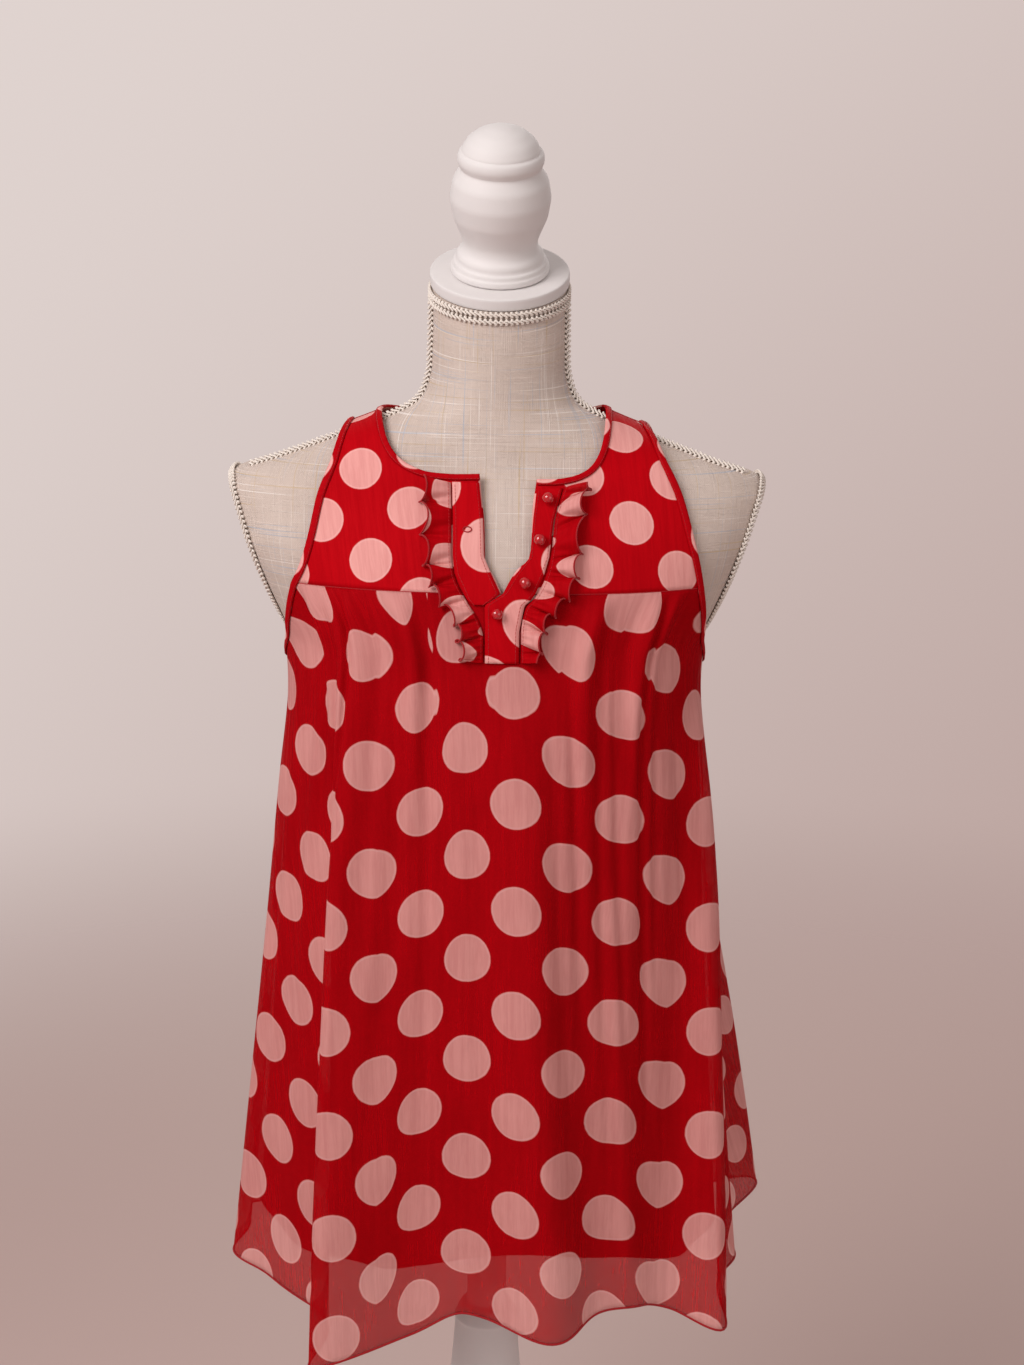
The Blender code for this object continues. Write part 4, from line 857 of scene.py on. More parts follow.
def grid_mesh(name, grid, uv, wrap=False):
    """Surface through a grid of points; uv is in metres of flat cloth, one column longer where it wraps."""
    rows, columns = grid.shape[:2]
    faces = grid_faces(rows, columns, wrap)
    uv_faces = grid_faces(rows, uv.shape[1])
    mesh = bpy.data.meshes.new(name)
    mesh.from_pydata(grid.reshape(-1, 3).tolist(), [], faces.tolist())
    layer = mesh.uv_layers.new(name="cloth")
    layer.data.foreach_set("uv", uv.reshape(-1, 2)[uv_faces.ravel()].astype(np.float32).ravel())
    mesh.update()
    mesh.shade_smooth()
    return mesh


def closed_mesh(mesh, caps=()):
    """Closes a mesh at its caps, each (first corner, count, hub height or None), with its faces out."""
    shaped = bmesh.new()
    shaped.from_mesh(mesh)
    corners = list(shaped.verts)
    for first, count, hub_height in caps:
        rim = corners[first:first + count]
        if hub_height is None:
            shaped.faces.new(rim)
            continue
        hub = shaped.verts.new((0.0, 0.0, hub_height))
        for here, after in zip(rim, rim[1:] + rim[:1]):
            shaped.faces.new((hub, here, after))
    bmesh.ops.recalc_face_normals(shaped, faces=shaped.faces)
    shaped.to_mesh(mesh)
    shaped.free()
    mesh.shade_smooth()


def show(name, data, finish, nodes=()):
    """Puts a piece in the scene, riding on the stand, in place of its solids."""
    piece = bpy.data.objects.new(name, data)
    bpy.context.scene.collection.objects.link(piece)
    data.materials.append(bpy.data.materials[finish])
    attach(piece, "root")
    if nodes:
        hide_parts(*nodes)
    return piece


def cloth(name, grid, uv, finish, wrap=False, thickness=THIN):
    """A thin shell of cloth about a grid of middle points, in place of the solid of that name."""
    if name in GRAINS:
        uv = np.stack([uv @ way[:2] + way[2] for way in map(np.array, GRAINS[name])], axis=-1)
    piece = show(f"{name}_cloth", grid_mesh(name, grid, uv, wrap), finish, [name])
    wall = piece.modifiers.new("wall", "SOLIDIFY")
    wall.thickness = thickness
    wall.offset = 0.0
    return piece


def cords(name, paths, radius, finish, nodes=(), closed=False, sides=1):
    """Round cords along paths, as one piece."""
    curve = bpy.data.curves.new(name + "_path", "CURVE")
    curve.dimensions = "3D"
    curve.bevel_depth = radius
    curve.bevel_resolution = sides
    curve.use_fill_caps = True
    for path in paths:
        spline = curve.splines.new("POLY")
        spline.points.add(len(path) - 1)
        spline.points.foreach_set("co", np.c_[path, np.ones(len(path))].astype(np.float32).ravel())
        spline.use_cyclic_u = closed
    carrier = bpy.data.objects.new(name + "_path", curve)
    bpy.context.scene.collection.objects.link(carrier)
    seen = carrier.evaluated_get(bpy.context.evaluated_depsgraph_get())
    mesh = bpy.data.meshes.new_from_object(seen)
    bpy.data.objects.remove(carrier)
    bpy.data.curves.remove(curve)
    mesh.name = name
    closed_mesh(mesh)
    mesh.materials.clear()
    return show(name, mesh, finish, nodes)


def travel_of(path, closed=False):
    """Direction of travel at each point of a path."""
    if closed:
        return unit(np.roll(path, -1, axis=0) - np.roll(path, 1, axis=0))
    return unit(np.gradient(path, axis=0))


def travelled(points):
    """Length from the first of a row of points to each of them, or from the first row of a grid."""
    steps = np.linalg.norm(np.diff(points, axis=0), axis=-1)
    return np.concatenate([np.zeros_like(steps[:1]), np.cumsum(steps, axis=0)])


def evenly(path, spacing, closed=False):
    """A path's points at about one spacing, with whatever else is given at each point."""
    ring_path = np.concatenate([path, path[:1]]) if closed else path
    length = travelled(ring_path[:, :3])
    count = max(2, int(round(length[-1] / spacing)))
    at = np.linspace(0.0, length[-1], count + 1)
    if closed:
        at = at[:-1]
    return np.stack([np.interp(at, length, values) for values in ring_path.T], axis=-1)


def stitches(path, out, height):
    """Short threads along a path, each one rising from the cloth and going back in."""
    both = evenly(np.concatenate([path, out], axis=-1), STITCH_LENGTH / 4)
    rows = []
    for first in range(0, len(both) - 4, 4):
        part = both[first:first + 4]
        rise = np.array([0.0, 1.0, 1.0, 0.0])[:, None] * THREAD + height
        rows.append(part[:, :3] + unit(part[:, 3:]) * rise)
    return rows


def softened(profile, radius):
    """A profile with its corners rounded."""
    for _ in range(3):
        rounded = [profile[0]]
        for before, here, after in zip(profile, profile[1:], profile[2:]):
            for other in (before, after):
                reach = other - here
                length = np.linalg.norm(reach)
                share = min(0.25, radius / max(length, 1e-9))
                rounded.append(here + reach * share)
        rounded.append(profile[-1])
        profile = rounded
        radius *= 0.5
    return np.array(profile)


def turned(name, rows, place=(0.0, 0.0, 0.0), tilt=0.0):
    """Turned wood from a profile listed from the top down, with softened edges."""
    profile = softened([np.array([row.radius, row.z]) for row in rows], TURNED_EDGES[name])
    profile[[0, -1], 0] = 0.0
    angle = np.linspace(0.0, 2 * math.pi, TURNED_SIDES, endpoint=False)
    body = profile[1:-1, None]
    grid = np.stack([body[..., 0] * np.cos(angle), body[..., 0] * np.sin(angle),
                     body[..., 1] * np.ones_like(angle)], axis=-1)
    along = travelled(profile[1:-1])
    around = np.linspace(0.0, 1.0, TURNED_SIDES + 1) * 2 * math.pi * profile[:, 0].max()
    uv = np.stack(np.broadcast_arrays(around[None, :], along[:, None]), axis=-1)
    mesh = grid_mesh(name, grid, uv, wrap=True)
    last = len(mesh.vertices) - TURNED_SIDES
    closed_mesh(mesh, [(0, TURNED_SIDES, profile[0, 1]), (last, TURNED_SIDES, profile[-1, 1])])
    mesh.transform(Matrix.Translation(place) @ Matrix.Rotation(tilt, 4, "X"))
    mesh.set_sharp_from_angle(angle=TURNED_EDGE_ANGLE)
    show(f"{name}_wood", mesh, "white_paint", [name])


# Shader groups and finishes

def new_group(name, place, outputs, **measures):
    """Empty node group that takes a place and some measures, and gives the named values."""
    tree = bpy.data.node_groups.new(name, "ShaderNodeTree")
    tree.interface.new_socket(name=place, in_out="INPUT", socket_type="NodeSocketVector")
    for label, usual in measures.items():
        socket = tree.interface.new_socket(name=label, in_out="INPUT", socket_type="NodeSocketFloat")
        socket.default_value = usual
    for label in outputs:
        tree.interface.new_socket(name=label, in_out="OUTPUT", socket_type="NodeSocketFloat")
    return tree, tree.nodes.new("NodeGroupInput"), tree.nodes.new("NodeGroupOutput")


def feed(tree, socket, value):
    """Joins a socket to another one, or sets it to a plain value."""
    if isinstance(value, bpy.types.NodeSocket):
        tree.links.new(value, socket)
    else:
        socket.default_value = value


def maths(tree, operation, first, second=0.0, third=0.0):
    """One step of arithmetic on up to three values."""
    node = tree.nodes.new("ShaderNodeMath")
    node.operation = operation
    for socket, value in zip(node.inputs, (first, second, third)):
        feed(tree, socket, value)
    return node.outputs[0]


def ramp(tree, value, low, high, start=0.0, end=1.0):
    """Smooth step of a value between two limits."""
    node = tree.nodes.new("ShaderNodeMapRange")
    node.interpolation_type = "SMOOTHSTEP"
    for label, number in (("Value", value), ("From Min", low), ("From Max", high),
                          ("To Min", start), ("To Max", end)):
        feed(tree, node.inputs[label], number)
    return node.outputs["Result"]


def stretched_noise(tree, vector, speckle):
    """Noise over a vector, as a row of the speckle values gives it."""
    mapping = tree.nodes.new("ShaderNodeMapping")
    feed(tree, mapping.inputs["Vector"], vector)
    mapping.inputs["Scale"].default_value = speckle.scale
    noise = tree.nodes.new("ShaderNodeTexNoise")
    tree.links.new(mapping.outputs["Vector"], noise.inputs["Vector"])
    noise.inputs["Scale"].default_value = 1.0
    noise.inputs["Detail"].default_value = speckle.detail
    noise.inputs["Roughness"].default_value = speckle.roughness
    noise.inputs["Distortion"].default_value = speckle.distortion
    return noise.outputs["Fac"]


def blend(tree, share, first, second):
    """Colour between two colours."""
    node = tree.nodes.new("ShaderNodeMix")
    node.data_type = "RGBA"
    feed(tree, node.inputs["Factor"], share)
    feed(tree, node.inputs["A"], first)
    feed(tree, node.inputs["B"], second)
    return node.outputs["Result"]


def dot_print_group():
    """Staggered round dots on flat cloth, with a fine rim."""
    tree, source, sink = new_group("dot_print", "Cloth", ("Dot", "Rim"))
    wander = tree.nodes.new("ShaderNodeTexNoise")
    feed(tree, wander.inputs["Vector"], source.outputs["Cloth"])
    wander.inputs["Scale"].default_value = DOT_WOBBLE_SCALE
    wander.inputs["Detail"].default_value = 2.0
    wobble = tree.nodes.new("ShaderNodeVectorMath")
    wobble.operation = "MULTIPLY_ADD"
    feed(tree, wobble.inputs[0], wander.outputs["Color"])
    wobble.inputs[1].default_value = (DOT_WOBBLE, DOT_WOBBLE, 0.0)
    feed(tree, wobble.inputs[2], source.outputs["Cloth"])
    apart = tree.nodes.new("ShaderNodeSeparateXYZ")
    feed(tree, apart.inputs[0], wobble.outputs[0])
    nearest = []
    for share in (0.0, 0.5):
        across = maths(tree, "SUBTRACT", apart.outputs["X"], share * DOT_ACROSS)
        down = maths(tree, "SUBTRACT", apart.outputs["Y"], share * DOT_DOWN)
        across = maths(tree, "PINGPONG", maths(tree, "ABSOLUTE", across), DOT_ACROSS / 2)
        down = maths(tree, "PINGPONG", maths(tree, "ABSOLUTE", down), DOT_DOWN / 2)
        square = maths(tree, "MULTIPLY_ADD", across, across, maths(tree, "MULTIPLY", down, down))
        nearest.append(maths(tree, "SQRT", square))
    away = maths(tree, "MINIMUM", *nearest)
    dot = ramp(tree, away, DOT_RADIUS - DOT_BLUR, DOT_RADIUS + DOT_BLUR, 1.0, 0.0)
    feed(tree, sink.inputs["Dot"], dot)
    rim = maths(tree, "ABSOLUTE", maths(tree, "SUBTRACT", away, DOT_RADIUS - DOT_RIM_WIDTH))
    feed(tree, sink.inputs["Rim"], ramp(tree, rim, 0.0, DOT_RIM_WIDTH, 1.0, 0.0))
    return tree


def crinkle_group():
    """Fine upright crinkles of crepe chiffon, and a share that colours their troughs darker as painted
    shade.
    """
    tree, source, sink = new_group("crepe_crinkle", "Cloth", ("Height", "Streak"))
    fine = stretched_noise(tree, source.outputs["Cloth"], FINE_CRINKLES)
    broad = stretched_noise(tree, source.outputs["Cloth"], BROAD_CRINKLES)
    mixed = maths(tree, "MULTIPLY_ADD", broad, BROAD_SHARE,
                   maths(tree, "MULTIPLY", fine, 1 - BROAD_SHARE))
    feed(tree, sink.inputs["Height"], mixed)
    # Painted shade: the lower the crinkle, the darker the cloth is coloured
    feed(tree, sink.inputs["Streak"], ramp(tree, mixed, *CRINKLE_SHADE_SPAN))
    return tree


def weave_group():
    """Plain weave: threads over and under, uneven, with thick slubs."""
    tree, source, sink = new_group("plain_weave", "Cloth", ("Height", "Shade"),
                                   Pitch=LINEN_PITCH, Slub=LINEN_SLUB)
    bend = stretched_noise(tree, source.outputs["Cloth"], THREAD_BENDS)
    apart = tree.nodes.new("ShaderNodeSeparateXYZ")
    feed(tree, apart.inputs[0], source.outputs["Cloth"])
    waves = []
    for axis in ("X", "Y"):
        turn = maths(tree, "DIVIDE", apart.outputs[axis], source.outputs["Pitch"])
        turn = maths(tree, "MULTIPLY_ADD", bend, THREAD_BEND, turn)
        waves.append(maths(tree, "SINE", maths(tree, "MULTIPLY", turn, math.pi)))
    over = maths(tree, "MULTIPLY", *waves)
    warp = stretched_noise(tree, source.outputs["Cloth"], WARP_SLUBS)
    weft = stretched_noise(tree, source.outputs["Cloth"], WEFT_SLUBS)
    slub = maths(tree, "ADD", ramp(tree, warp, *SLUB_SPAN), ramp(tree, weft, *SLUB_SPAN))
    slub = maths(tree, "MULTIPLY", slub, source.outputs["Slub"])
    height = maths(tree, "MULTIPLY_ADD", maths(tree, "ABSOLUTE", over), THREAD_RISE, slub)
    feed(tree, sink.inputs["Height"], height)
    shade = maths(tree, "MULTIPLY_ADD", over, OVER_SHADE, maths(tree, "MULTIPLY", slub, SLUB_SHADE))
    feed(tree, sink.inputs["Shade"], maths(tree, "ADD", shade, WEAVE_SHADE))
    return tree


def twist_group():
    """Twisted yarn: slanting plies along a cord, in its own place, with a shade share that is painted shade
    between the plies mixed with random fuzz tone.
    """
    tree, source, sink = new_group("twisted_yarn", "Place", ("Height", "Shade"), Ply=GIMP_PLY)
    apart = tree.nodes.new("ShaderNodeSeparateXYZ")
    feed(tree, apart.inputs[0], source.outputs["Place"])
    level = maths(tree, "ADD", apart.outputs["X"], apart.outputs["Y"])
    slant = maths(tree, "ADD", level, apart.outputs["Z"])
    turn = maths(tree, "DIVIDE", slant, source.outputs["Ply"])
    ply = maths(tree, "SINE", maths(tree, "MULTIPLY", turn, 2 * math.pi))
    fuzz = stretched_noise(tree, source.outputs["Place"], YARN_FUZZ)
    height = maths(tree, "MULTIPLY_ADD", ply, PLY_RISE, fuzz)
    feed(tree, sink.inputs["Height"], height)
    # Painted shade: where plies and fuzz lie lower the yarn is coloured darker
    feed(tree, sink.inputs["Shade"], ramp(tree, height, *YARN_SPAN))
    return tree


def mottle_group():
    """Slow cloudy change of tone."""
    tree, source, sink = new_group("mottle", "Place", ("Cloud",))
    cloud = stretched_noise(tree, source.outputs["Place"], CLOUDS)
    feed(tree, sink.inputs["Cloud"], ramp(tree, cloud, *CLOUD_SPAN))
    return tree


GROUPS = {"dot_print": dot_print_group(), "crepe_crinkle": crinkle_group(), "plain_weave": weave_group(),
          "twisted_yarn": twist_group(), "mottle": mottle_group()}


def place_group(tree, name, **values):
    """One of the shared groups in a material, with its own values."""
    node = tree.nodes.new("ShaderNodeGroup")
    node.node_tree = GROUPS[name]
    for label, value in values.items():
        feed(tree, node.inputs[label], value)
    return node


def new_material(name, finish):
    """Material with its steady values set, and its tree, shader and coordinates."""
    material = bpy.data.materials.new(name)
    material.use_nodes = True
    tree = material.node_tree
    shader = tree.nodes["Principled BSDF"]
    shader.inputs["Roughness"].default_value = finish.rough
    shader.inputs["Coat Weight"].default_value = finish.coat
    shader.inputs["Coat Roughness"].default_value = finish.coat_roughness
    shader.inputs["Sheen Weight"].default_value = finish.sheen
    shader.inputs["Sheen Roughness"].default_value = SHEEN_ROUGHNESS
    shader.inputs["Specular IOR Level"].default_value = finish.specular
    return tree, shader, tree.nodes.new("ShaderNodeTexCoord")


def give_surface(tree, shader, finish, colour, share, height, span=(0.0, 1.0)):
    """Joins a shader to its colour, to the share of smoothness and to the height of its relief."""
    feed(tree, shader.inputs["Base Color"], colour)
    feed(tree, shader.inputs["Roughness"], ramp(tree, share, *span, finish.rough, finish.smooth))
    bump = tree.nodes.new("ShaderNodeBump")
    bump.inputs["Distance"].default_value = finish.relief
    bump.inputs["Strength"].default_value = finish.strength
    feed(tree, bump.inputs["Height"], height)
    feed(tree, shader.inputs["Normal"], bump.outputs["Normal"])


def mixed_shares(tree, first, share, second, rest):
    """Sum of two values, each times its share."""
    return maths(tree, "MULTIPLY_ADD", first, share, maths(tree, "MULTIPLY", second, rest))


def darker(colour, share):
    """A share of a colour."""
    return tuple(part * share for part in colour[:3]) + (1.0,)


def chiffon_material(name, opacity, red=CHIFFON_RED):
    """Sheer crepe chiffon with a print of pale dots."""
    tree, shader, where = new_material(name, CHIFFON_FINISH)
    cloth_place = where.outputs["UV"]
    crinkle = place_group(tree, "crepe_crinkle", Cloth=cloth_place)
    cloud = place_group(tree, "mottle", Place=where.outputs["Object"])
    # Colour share: random cloudy tone mixed with painted shade in the crinkle troughs
    tone_and_crinkle_shade = mixed_shares(tree, cloud.outputs["Cloud"], CHIFFON_CLOUD,
                          crinkle.outputs["Streak"], 1 - CHIFFON_CLOUD)
    colour = blend(tree, tone_and_crinkle_shade, darker(red, CHIFFON_SHADE), red)
    printed = place_group(tree, "dot_print", Cloth=cloth_place)
    # The dots darken with the same painted crinkle shade and clouds
    pale = blend(tree, tone_and_crinkle_shade, DOT_SHADE, DOT_PALE)
    pale = blend(tree, maths(tree, "MULTIPLY", printed.outputs["Rim"], RIM_SHARE), pale, DOT_RIM)
    colour = blend(tree, printed.outputs["Dot"], colour, pale)
    shader.inputs["Alpha"].default_value = opacity
    give_surface(tree, shader, CHIFFON_FINISH, colour, tone_and_crinkle_shade, crinkle.outputs["Height"])


def lining_material():
    """Smooth plain lining with a faint weave."""
    tree, shader, where = new_material("lining_cloth", LINING_FINISH)
    weave = place_group(tree, "plain_weave", Cloth=where.outputs["UV"],
                        Pitch=LINING_PITCH, Slub=LINING_SLUB)
    cloud = place_group(tree, "mottle", Place=where.outputs["Object"])
    share = mixed_shares(tree, cloud.outputs["Cloud"], 0.5, weave.outputs["Shade"], 0.5)
    colour = blend(tree, share, darker(LINING_RED, LINING_SHADE), LINING_RED)
    give_surface(tree, shader, LINING_FINISH, colour, share, weave.outputs["Height"])


def linen_material():
    """Slubby natural linen stretched over the form."""
    tree, shader, where = new_material("linen", LINEN_FINISH)
    weave = place_group(tree, "plain_weave", Cloth=where.outputs["UV"], Pitch=LINEN_PITCH, Slub=LINEN_SLUB)
    cloud = place_group(tree, "mottle", Place=where.outputs["Object"])
    share = mixed_shares(tree, cloud.outputs["Cloud"], LINEN_CLOUD, weave.outputs["Shade"], LINEN_WEAVE)
    colour = blend(tree, share, LINEN_SHADE, LINEN_PALE)
    for speckle, yarn in LINEN_THREADS:
        run = stretched_noise(tree, where.outputs["UV"], speckle)
        colour = blend(tree, ramp(tree, run, *LINEN_RUN_SPAN, 0.0, LINEN_RUN_SHARE), colour, yarn)
    give_surface(tree, shader, LINEN_FINISH, colour, share, weave.outputs["Height"])


def yarn_material(name, dark, pale, ply, rough, smooth):
    """Twisted yarn or thread."""
    finish = YARN_FINISH._replace(rough=rough, smooth=smooth)
    tree, shader, where = new_material(name, finish)
    yarn = place_group(tree, "twisted_yarn", Place=where.outputs["Object"], Ply=ply)
    # Dark where the yarn lies low: painted shade between the plies, with random fuzz tone
    shade = yarn.outputs["Shade"]
    give_surface(tree, shader, finish, blend(tree, shade, dark, pale), shade, yarn.outputs["Height"])


def paint_material():
    """White satin paint on turned wood: slow unevenness, fine turning lines and a little grime."""
    tree, shader, where = new_material("white_paint", PAINT_FINISH)
    cloud = place_group(tree, "mottle", Place=where.outputs["Object"])
    lines = stretched_noise(tree, where.outputs["Object"], TURNING_LINES)
    grime = stretched_noise(tree, where.outputs["Object"], GRIME)
    share = mixed_shares(tree, cloud.outputs["Cloud"], 1 - GRIME_SHARE,
                         ramp(tree, grime, *GRIME_SPAN), GRIME_SHARE)
    colour = blend(tree, share, PAINT_GREY, PAINT_WHITE)
    height = maths(tree, "ADD", lines, cloud.outputs["Cloud"])
    give_surface(tree, shader, PAINT_FINISH, colour, grime, height, GLOSS_SPAN)


def button_material():
    """Glossy red ball."""
    tree, shader, where = new_material("button_gloss", BUTTON_FINISH)
    grain = stretched_noise(tree, where.outputs["Object"], BUTTON_GRAIN)
    colour = blend(tree, ramp(tree, grain, *GLOSS_SPAN), BUTTON_DARK, BUTTON_RED)
    give_surface(tree, shader, BUTTON_FINISH, colour, grain, grain, GLOSS_SPAN)


chiffon_material("sheer_chiffon", SHEER_ALPHA)
chiffon_material("ruffle_chiffon", RUFFLE_ALPHA)
chiffon_material("backed_chiffon", 1.0)
chiffon_material("bound_chiffon", 1.0, red=BINDING_RED)
lining_material()
linen_material()
yarn_material("gimp_yarn", GIMP_DARK, GIMP_PALE, GIMP_PLY, 0.72, 0.52)
# Core cord coloured as painted shadow for the holes in the braid
yarn_material("gimp_core", GIMP_CORE_SHADOW_DARK, GIMP_CORE_SHADOW_PALE, GIMP_PLY, 0.9, 0.7)
yarn_material("edge_thread", EDGE_DARK, EDGE_RED, EDGE_PLY, 0.7, 0.5)
yarn_material("sewing_thread", THREAD_DARK, THREAD_RED, SEWING_PLY, 0.6, 0.4)
paint_material()
button_material()


# Dress

def yoke_sheet(name, top, bottom, start, end, shares, back=False):
    """One yoke as fine cloth."""
    grid = yoke_grid(top, bottom, start, end, shares, back)
    across = chest_arc(grid[..., 0], np.minimum(grid[..., 2], CHEST_TOP), back)
    up = travelled(grid[..., 1:])
    return cloth(name, grid, np.stack([across, up], axis=-1), "backed_chiffon")


def chest_arc(x, z, back):
    """Length of cloth from the centre line out to x, along the ring at one height."""
    angle = angle_of(CLOTH_SECTIONS, x, z, back)
    centre = np.where(back, np.where(angle < 0, -180.0, 180.0), 0.0)
    shares = np.linspace(0.0, 1.0, CHEST_ARC_STEPS)[:, None, None]
    heights = np.broadcast_to(z, shares.shape[:1] + z.shape)
    path = ring(CLOTH_SECTIONS, centre + (angle - centre) * shares, heights)
    return np.sign(x) * np.linalg.norm(np.diff(path, axis=0), axis=-1).sum(axis=0)


def front_yoke(name, neckline, opening, armhole, shoulder_inner, shoulder_outer):
    """One front yoke, from the opening to the armhole."""
    shoulder_shares = np.linspace(0.0, 1.0, SHOULDER_STEPS)[1:]
    neck_columns = np.linspace(0.0, NECK_SHARE, len(FRONT_NECK_SHARES))
    shares = np.concatenate([neck_columns, NECK_SHARE + (1 - NECK_SHARE) * shoulder_shares])
    top = np.concatenate([
        along_edge(neckline + [ridge_place(shoulder_inner)], FRONT_NECK_SHARES),
        shoulder_line(shoulder_inner, shoulder_outer, shoulder_shares),
    ])
    seam_x = opening[0].x + (armhole[0].x - opening[0].x) * shares
    bottom = np.stack([seam_x, np.zeros_like(seam_x)], axis=-1)
    start = climb_edge(opening)
    end = climb_edge(armhole + [ridge_place(shoulder_outer)])
    return yoke_sheet(name, top, bottom, start, end, shares)


def back_yoke():
    """Back yoke, from armhole to armhole."""
    first, last = BACK_SHOULDER_SHARE, 1 - BACK_SHOULDER_SHARE
    shares = np.concatenate([np.linspace(0.0, first, SHOULDER_STEPS),
                             np.linspace(first, last, len(BACK_NECK_SHARES))[1:],
                             np.linspace(last, 1.0, SHOULDER_STEPS)[1:]])
    neckline = [ridge_place(SHOULDER_INNER_LEFT)] + NECKLINE_BACK + [ridge_place(SHOULDER_INNER_RIGHT)]
    steps = np.linspace(0.0, 1.0, SHOULDER_STEPS)
    top = np.concatenate([
        shoulder_line(SHOULDER_OUTER_LEFT, SHOULDER_INNER_LEFT, steps),
        along_edge(neckline, BACK_NECK_SHARES[1:]),
        shoulder_line(SHOULDER_INNER_RIGHT, SHOULDER_OUTER_RIGHT, steps[1:]),
    ])
    seam_x = ARMHOLE_LEFT[0].x + (ARMHOLE_RIGHT[0].x - ARMHOLE_LEFT[0].x) * shares
    bottom = np.stack([seam_x, np.zeros_like(seam_x)], axis=-1)
    start = climb_edge(ARMHOLE_LEFT + [ridge_place(SHOULDER_OUTER_LEFT)])
    end = climb_edge(ARMHOLE_RIGHT + [ridge_place(SHOULDER_OUTER_RIGHT)])
    return yoke_sheet("back_yoke", top, bottom, start, end, shares, back=True)


def crease_lift(angle, z):
    """How far the small creases carry the cloth outward."""
    lift = np.zeros_like(angle)
    drop = np.clip((YOKE_SEAM - z) / (YOKE_SEAM - HEM_HEIGHT), 0.0, 1.0)
    for crease in CREASES:
        centre = crease.top + (crease.hem - crease.top) * drop
        span = np.clip((crease.high - z) / (crease.high - crease.low), 0.0, 1.0)
        window = np.sin(math.pi * span) ** CREASE_FADE
        lift += crease.depth * window * np.exp(-(wrapped(angle - centre) / crease.width) ** 2)
    return lift


def draped_point(angle, z):
    """Middle of the skirt's cloth with its small creases."""
    point = skirt_point(angle, z)
    angle, z = np.broadcast_arrays(np.asarray(angle, float), np.asarray(z, float))
    out = outward(CLOTH_SECTIONS, angle, z)
    return point + out * crease_lift(angle, z)[..., None]


def taken_up(angle, z):
    """Cloth that the tucks hide at the yoke seam, counted out from the centre line."""
    taken = np.zeros_like(z)
    for tuck in TUCKS:
        held = TUCK_TAKE * np.exp(-(YOKE_SEAM - z) / TUCK_OPEN)
        taken += held * np.tanh(wrapped(angle - tuck.angle) / TUCK_NIP) / 2
    return taken


def panel_uv(grid, z, middle):
    """Flat cloth places of a panel: across from its centre line, and down from the yoke seam."""
    across = travelled(grid[..., :2].swapaxes(0, 1)).T
    across = across - across[:, middle:middle + 1]
    return np.stack([across, z - YOKE_SEAM], axis=-1)


def bowed(uv):
    """The front skirt's flat places, with the print's rows bowed and its columns fanned by the gathers."""
    x = uv[..., 0]
    y = uv[..., 1]
    places = [row.x for row in PRINT_SHIFTS]
    across, lean, down, drop = (eased(places, [getattr(row, field) for row in PRINT_SHIFTS], x)
                                for field in PrintShift._fields[1:])
    return np.stack([x + across + lean * y, y + down + drop * y], axis=-1)


def hanging_panel(point_at, hem_column, side_steps, middle_steps, row_count, back):
    """Grid of a skirt or lining panel, half a seam gap off the side seams, with its flat places."""
    corners = (CORNER_RIGHT, CORNER_LEFT) if back else (CORNER_LEFT, CORNER_RIGHT)
    angle = wrapped_panel(panel_columns(side_steps, middle_steps, *corners, back=back))
    share = np.linspace(0.0, 1.0, row_count)[:, None] ** ROW_EASE
    top = skirt_top(angle)
    z = top + (column(HEMS, hem_column, angle, key="angle") - top) * share
    grid = point_at(np.broadcast_to(angle, z.shape), z)
    grid[..., 1] += SEAM_GAP / 2 if back else -SEAM_GAP / 2
    middle = int(np.argmin(np.abs(np.abs(angle) - (180.0 if back else 0.0))))
    uv = panel_uv(grid, z, middle)
    if point_at is draped_point:
        taken = taken_up(angle, z)
        uv[..., 0] += taken - taken[:, middle:middle + 1]
    return grid, uv


def skirt_and_lining():
    """Four hanging panels, with their hems and side seams."""
    sheets = {}
    hems = {"skirt": [], "lining": []}
    for back, side in ((False, "front"), (True, "back")):
        grid, uv = hanging_panel(draped_point, "skirt", *SKIRT_STEPS, back)
        name = f"skirt_{side}"
        sheets[name] = cloth(name, grid, uv if back else bowed(uv), "sheer_chiffon")
        hems["skirt"].append(grid[-1])
        if back:
            seams = [grid[::4, 0], grid[::4, -1]]
        grid, uv = hanging_panel(lining_point, "lining", *LINING_STEPS, back)
        name = f"lining_{side}"
        sheets[name] = cloth(name, grid, uv, "lining_cloth")
        hems["lining"].append(grid[-1])
    skirt_hem, lining_hem = (
        cords(f"{layer}_hem", [np.concatenate(hems[layer])], roll, "edge_thread", closed=True)
        for layer, roll, slot in (("skirt", HEM_ROLL, "red_chiffon"),
                                  ("lining", LINING_ROLL, "red_lining")))
    side_seams = cords("side_seams", seams, SEAM_ROLL, "edge_thread")
    return sheets, skirt_hem, lining_hem, side_seams


def on_cloth(x, z, lift, back=False):
    """Point on the yoke or skirt top, moved out of the cloth's middle."""
    angle = angle_of(CLOTH_SECTIONS, x, z, back)
    out = outward(CLOTH_SECTIONS, angle, z)
    return ring(CLOTH_SECTIONS, angle, z) + out * np.asarray(lift)[..., None], out


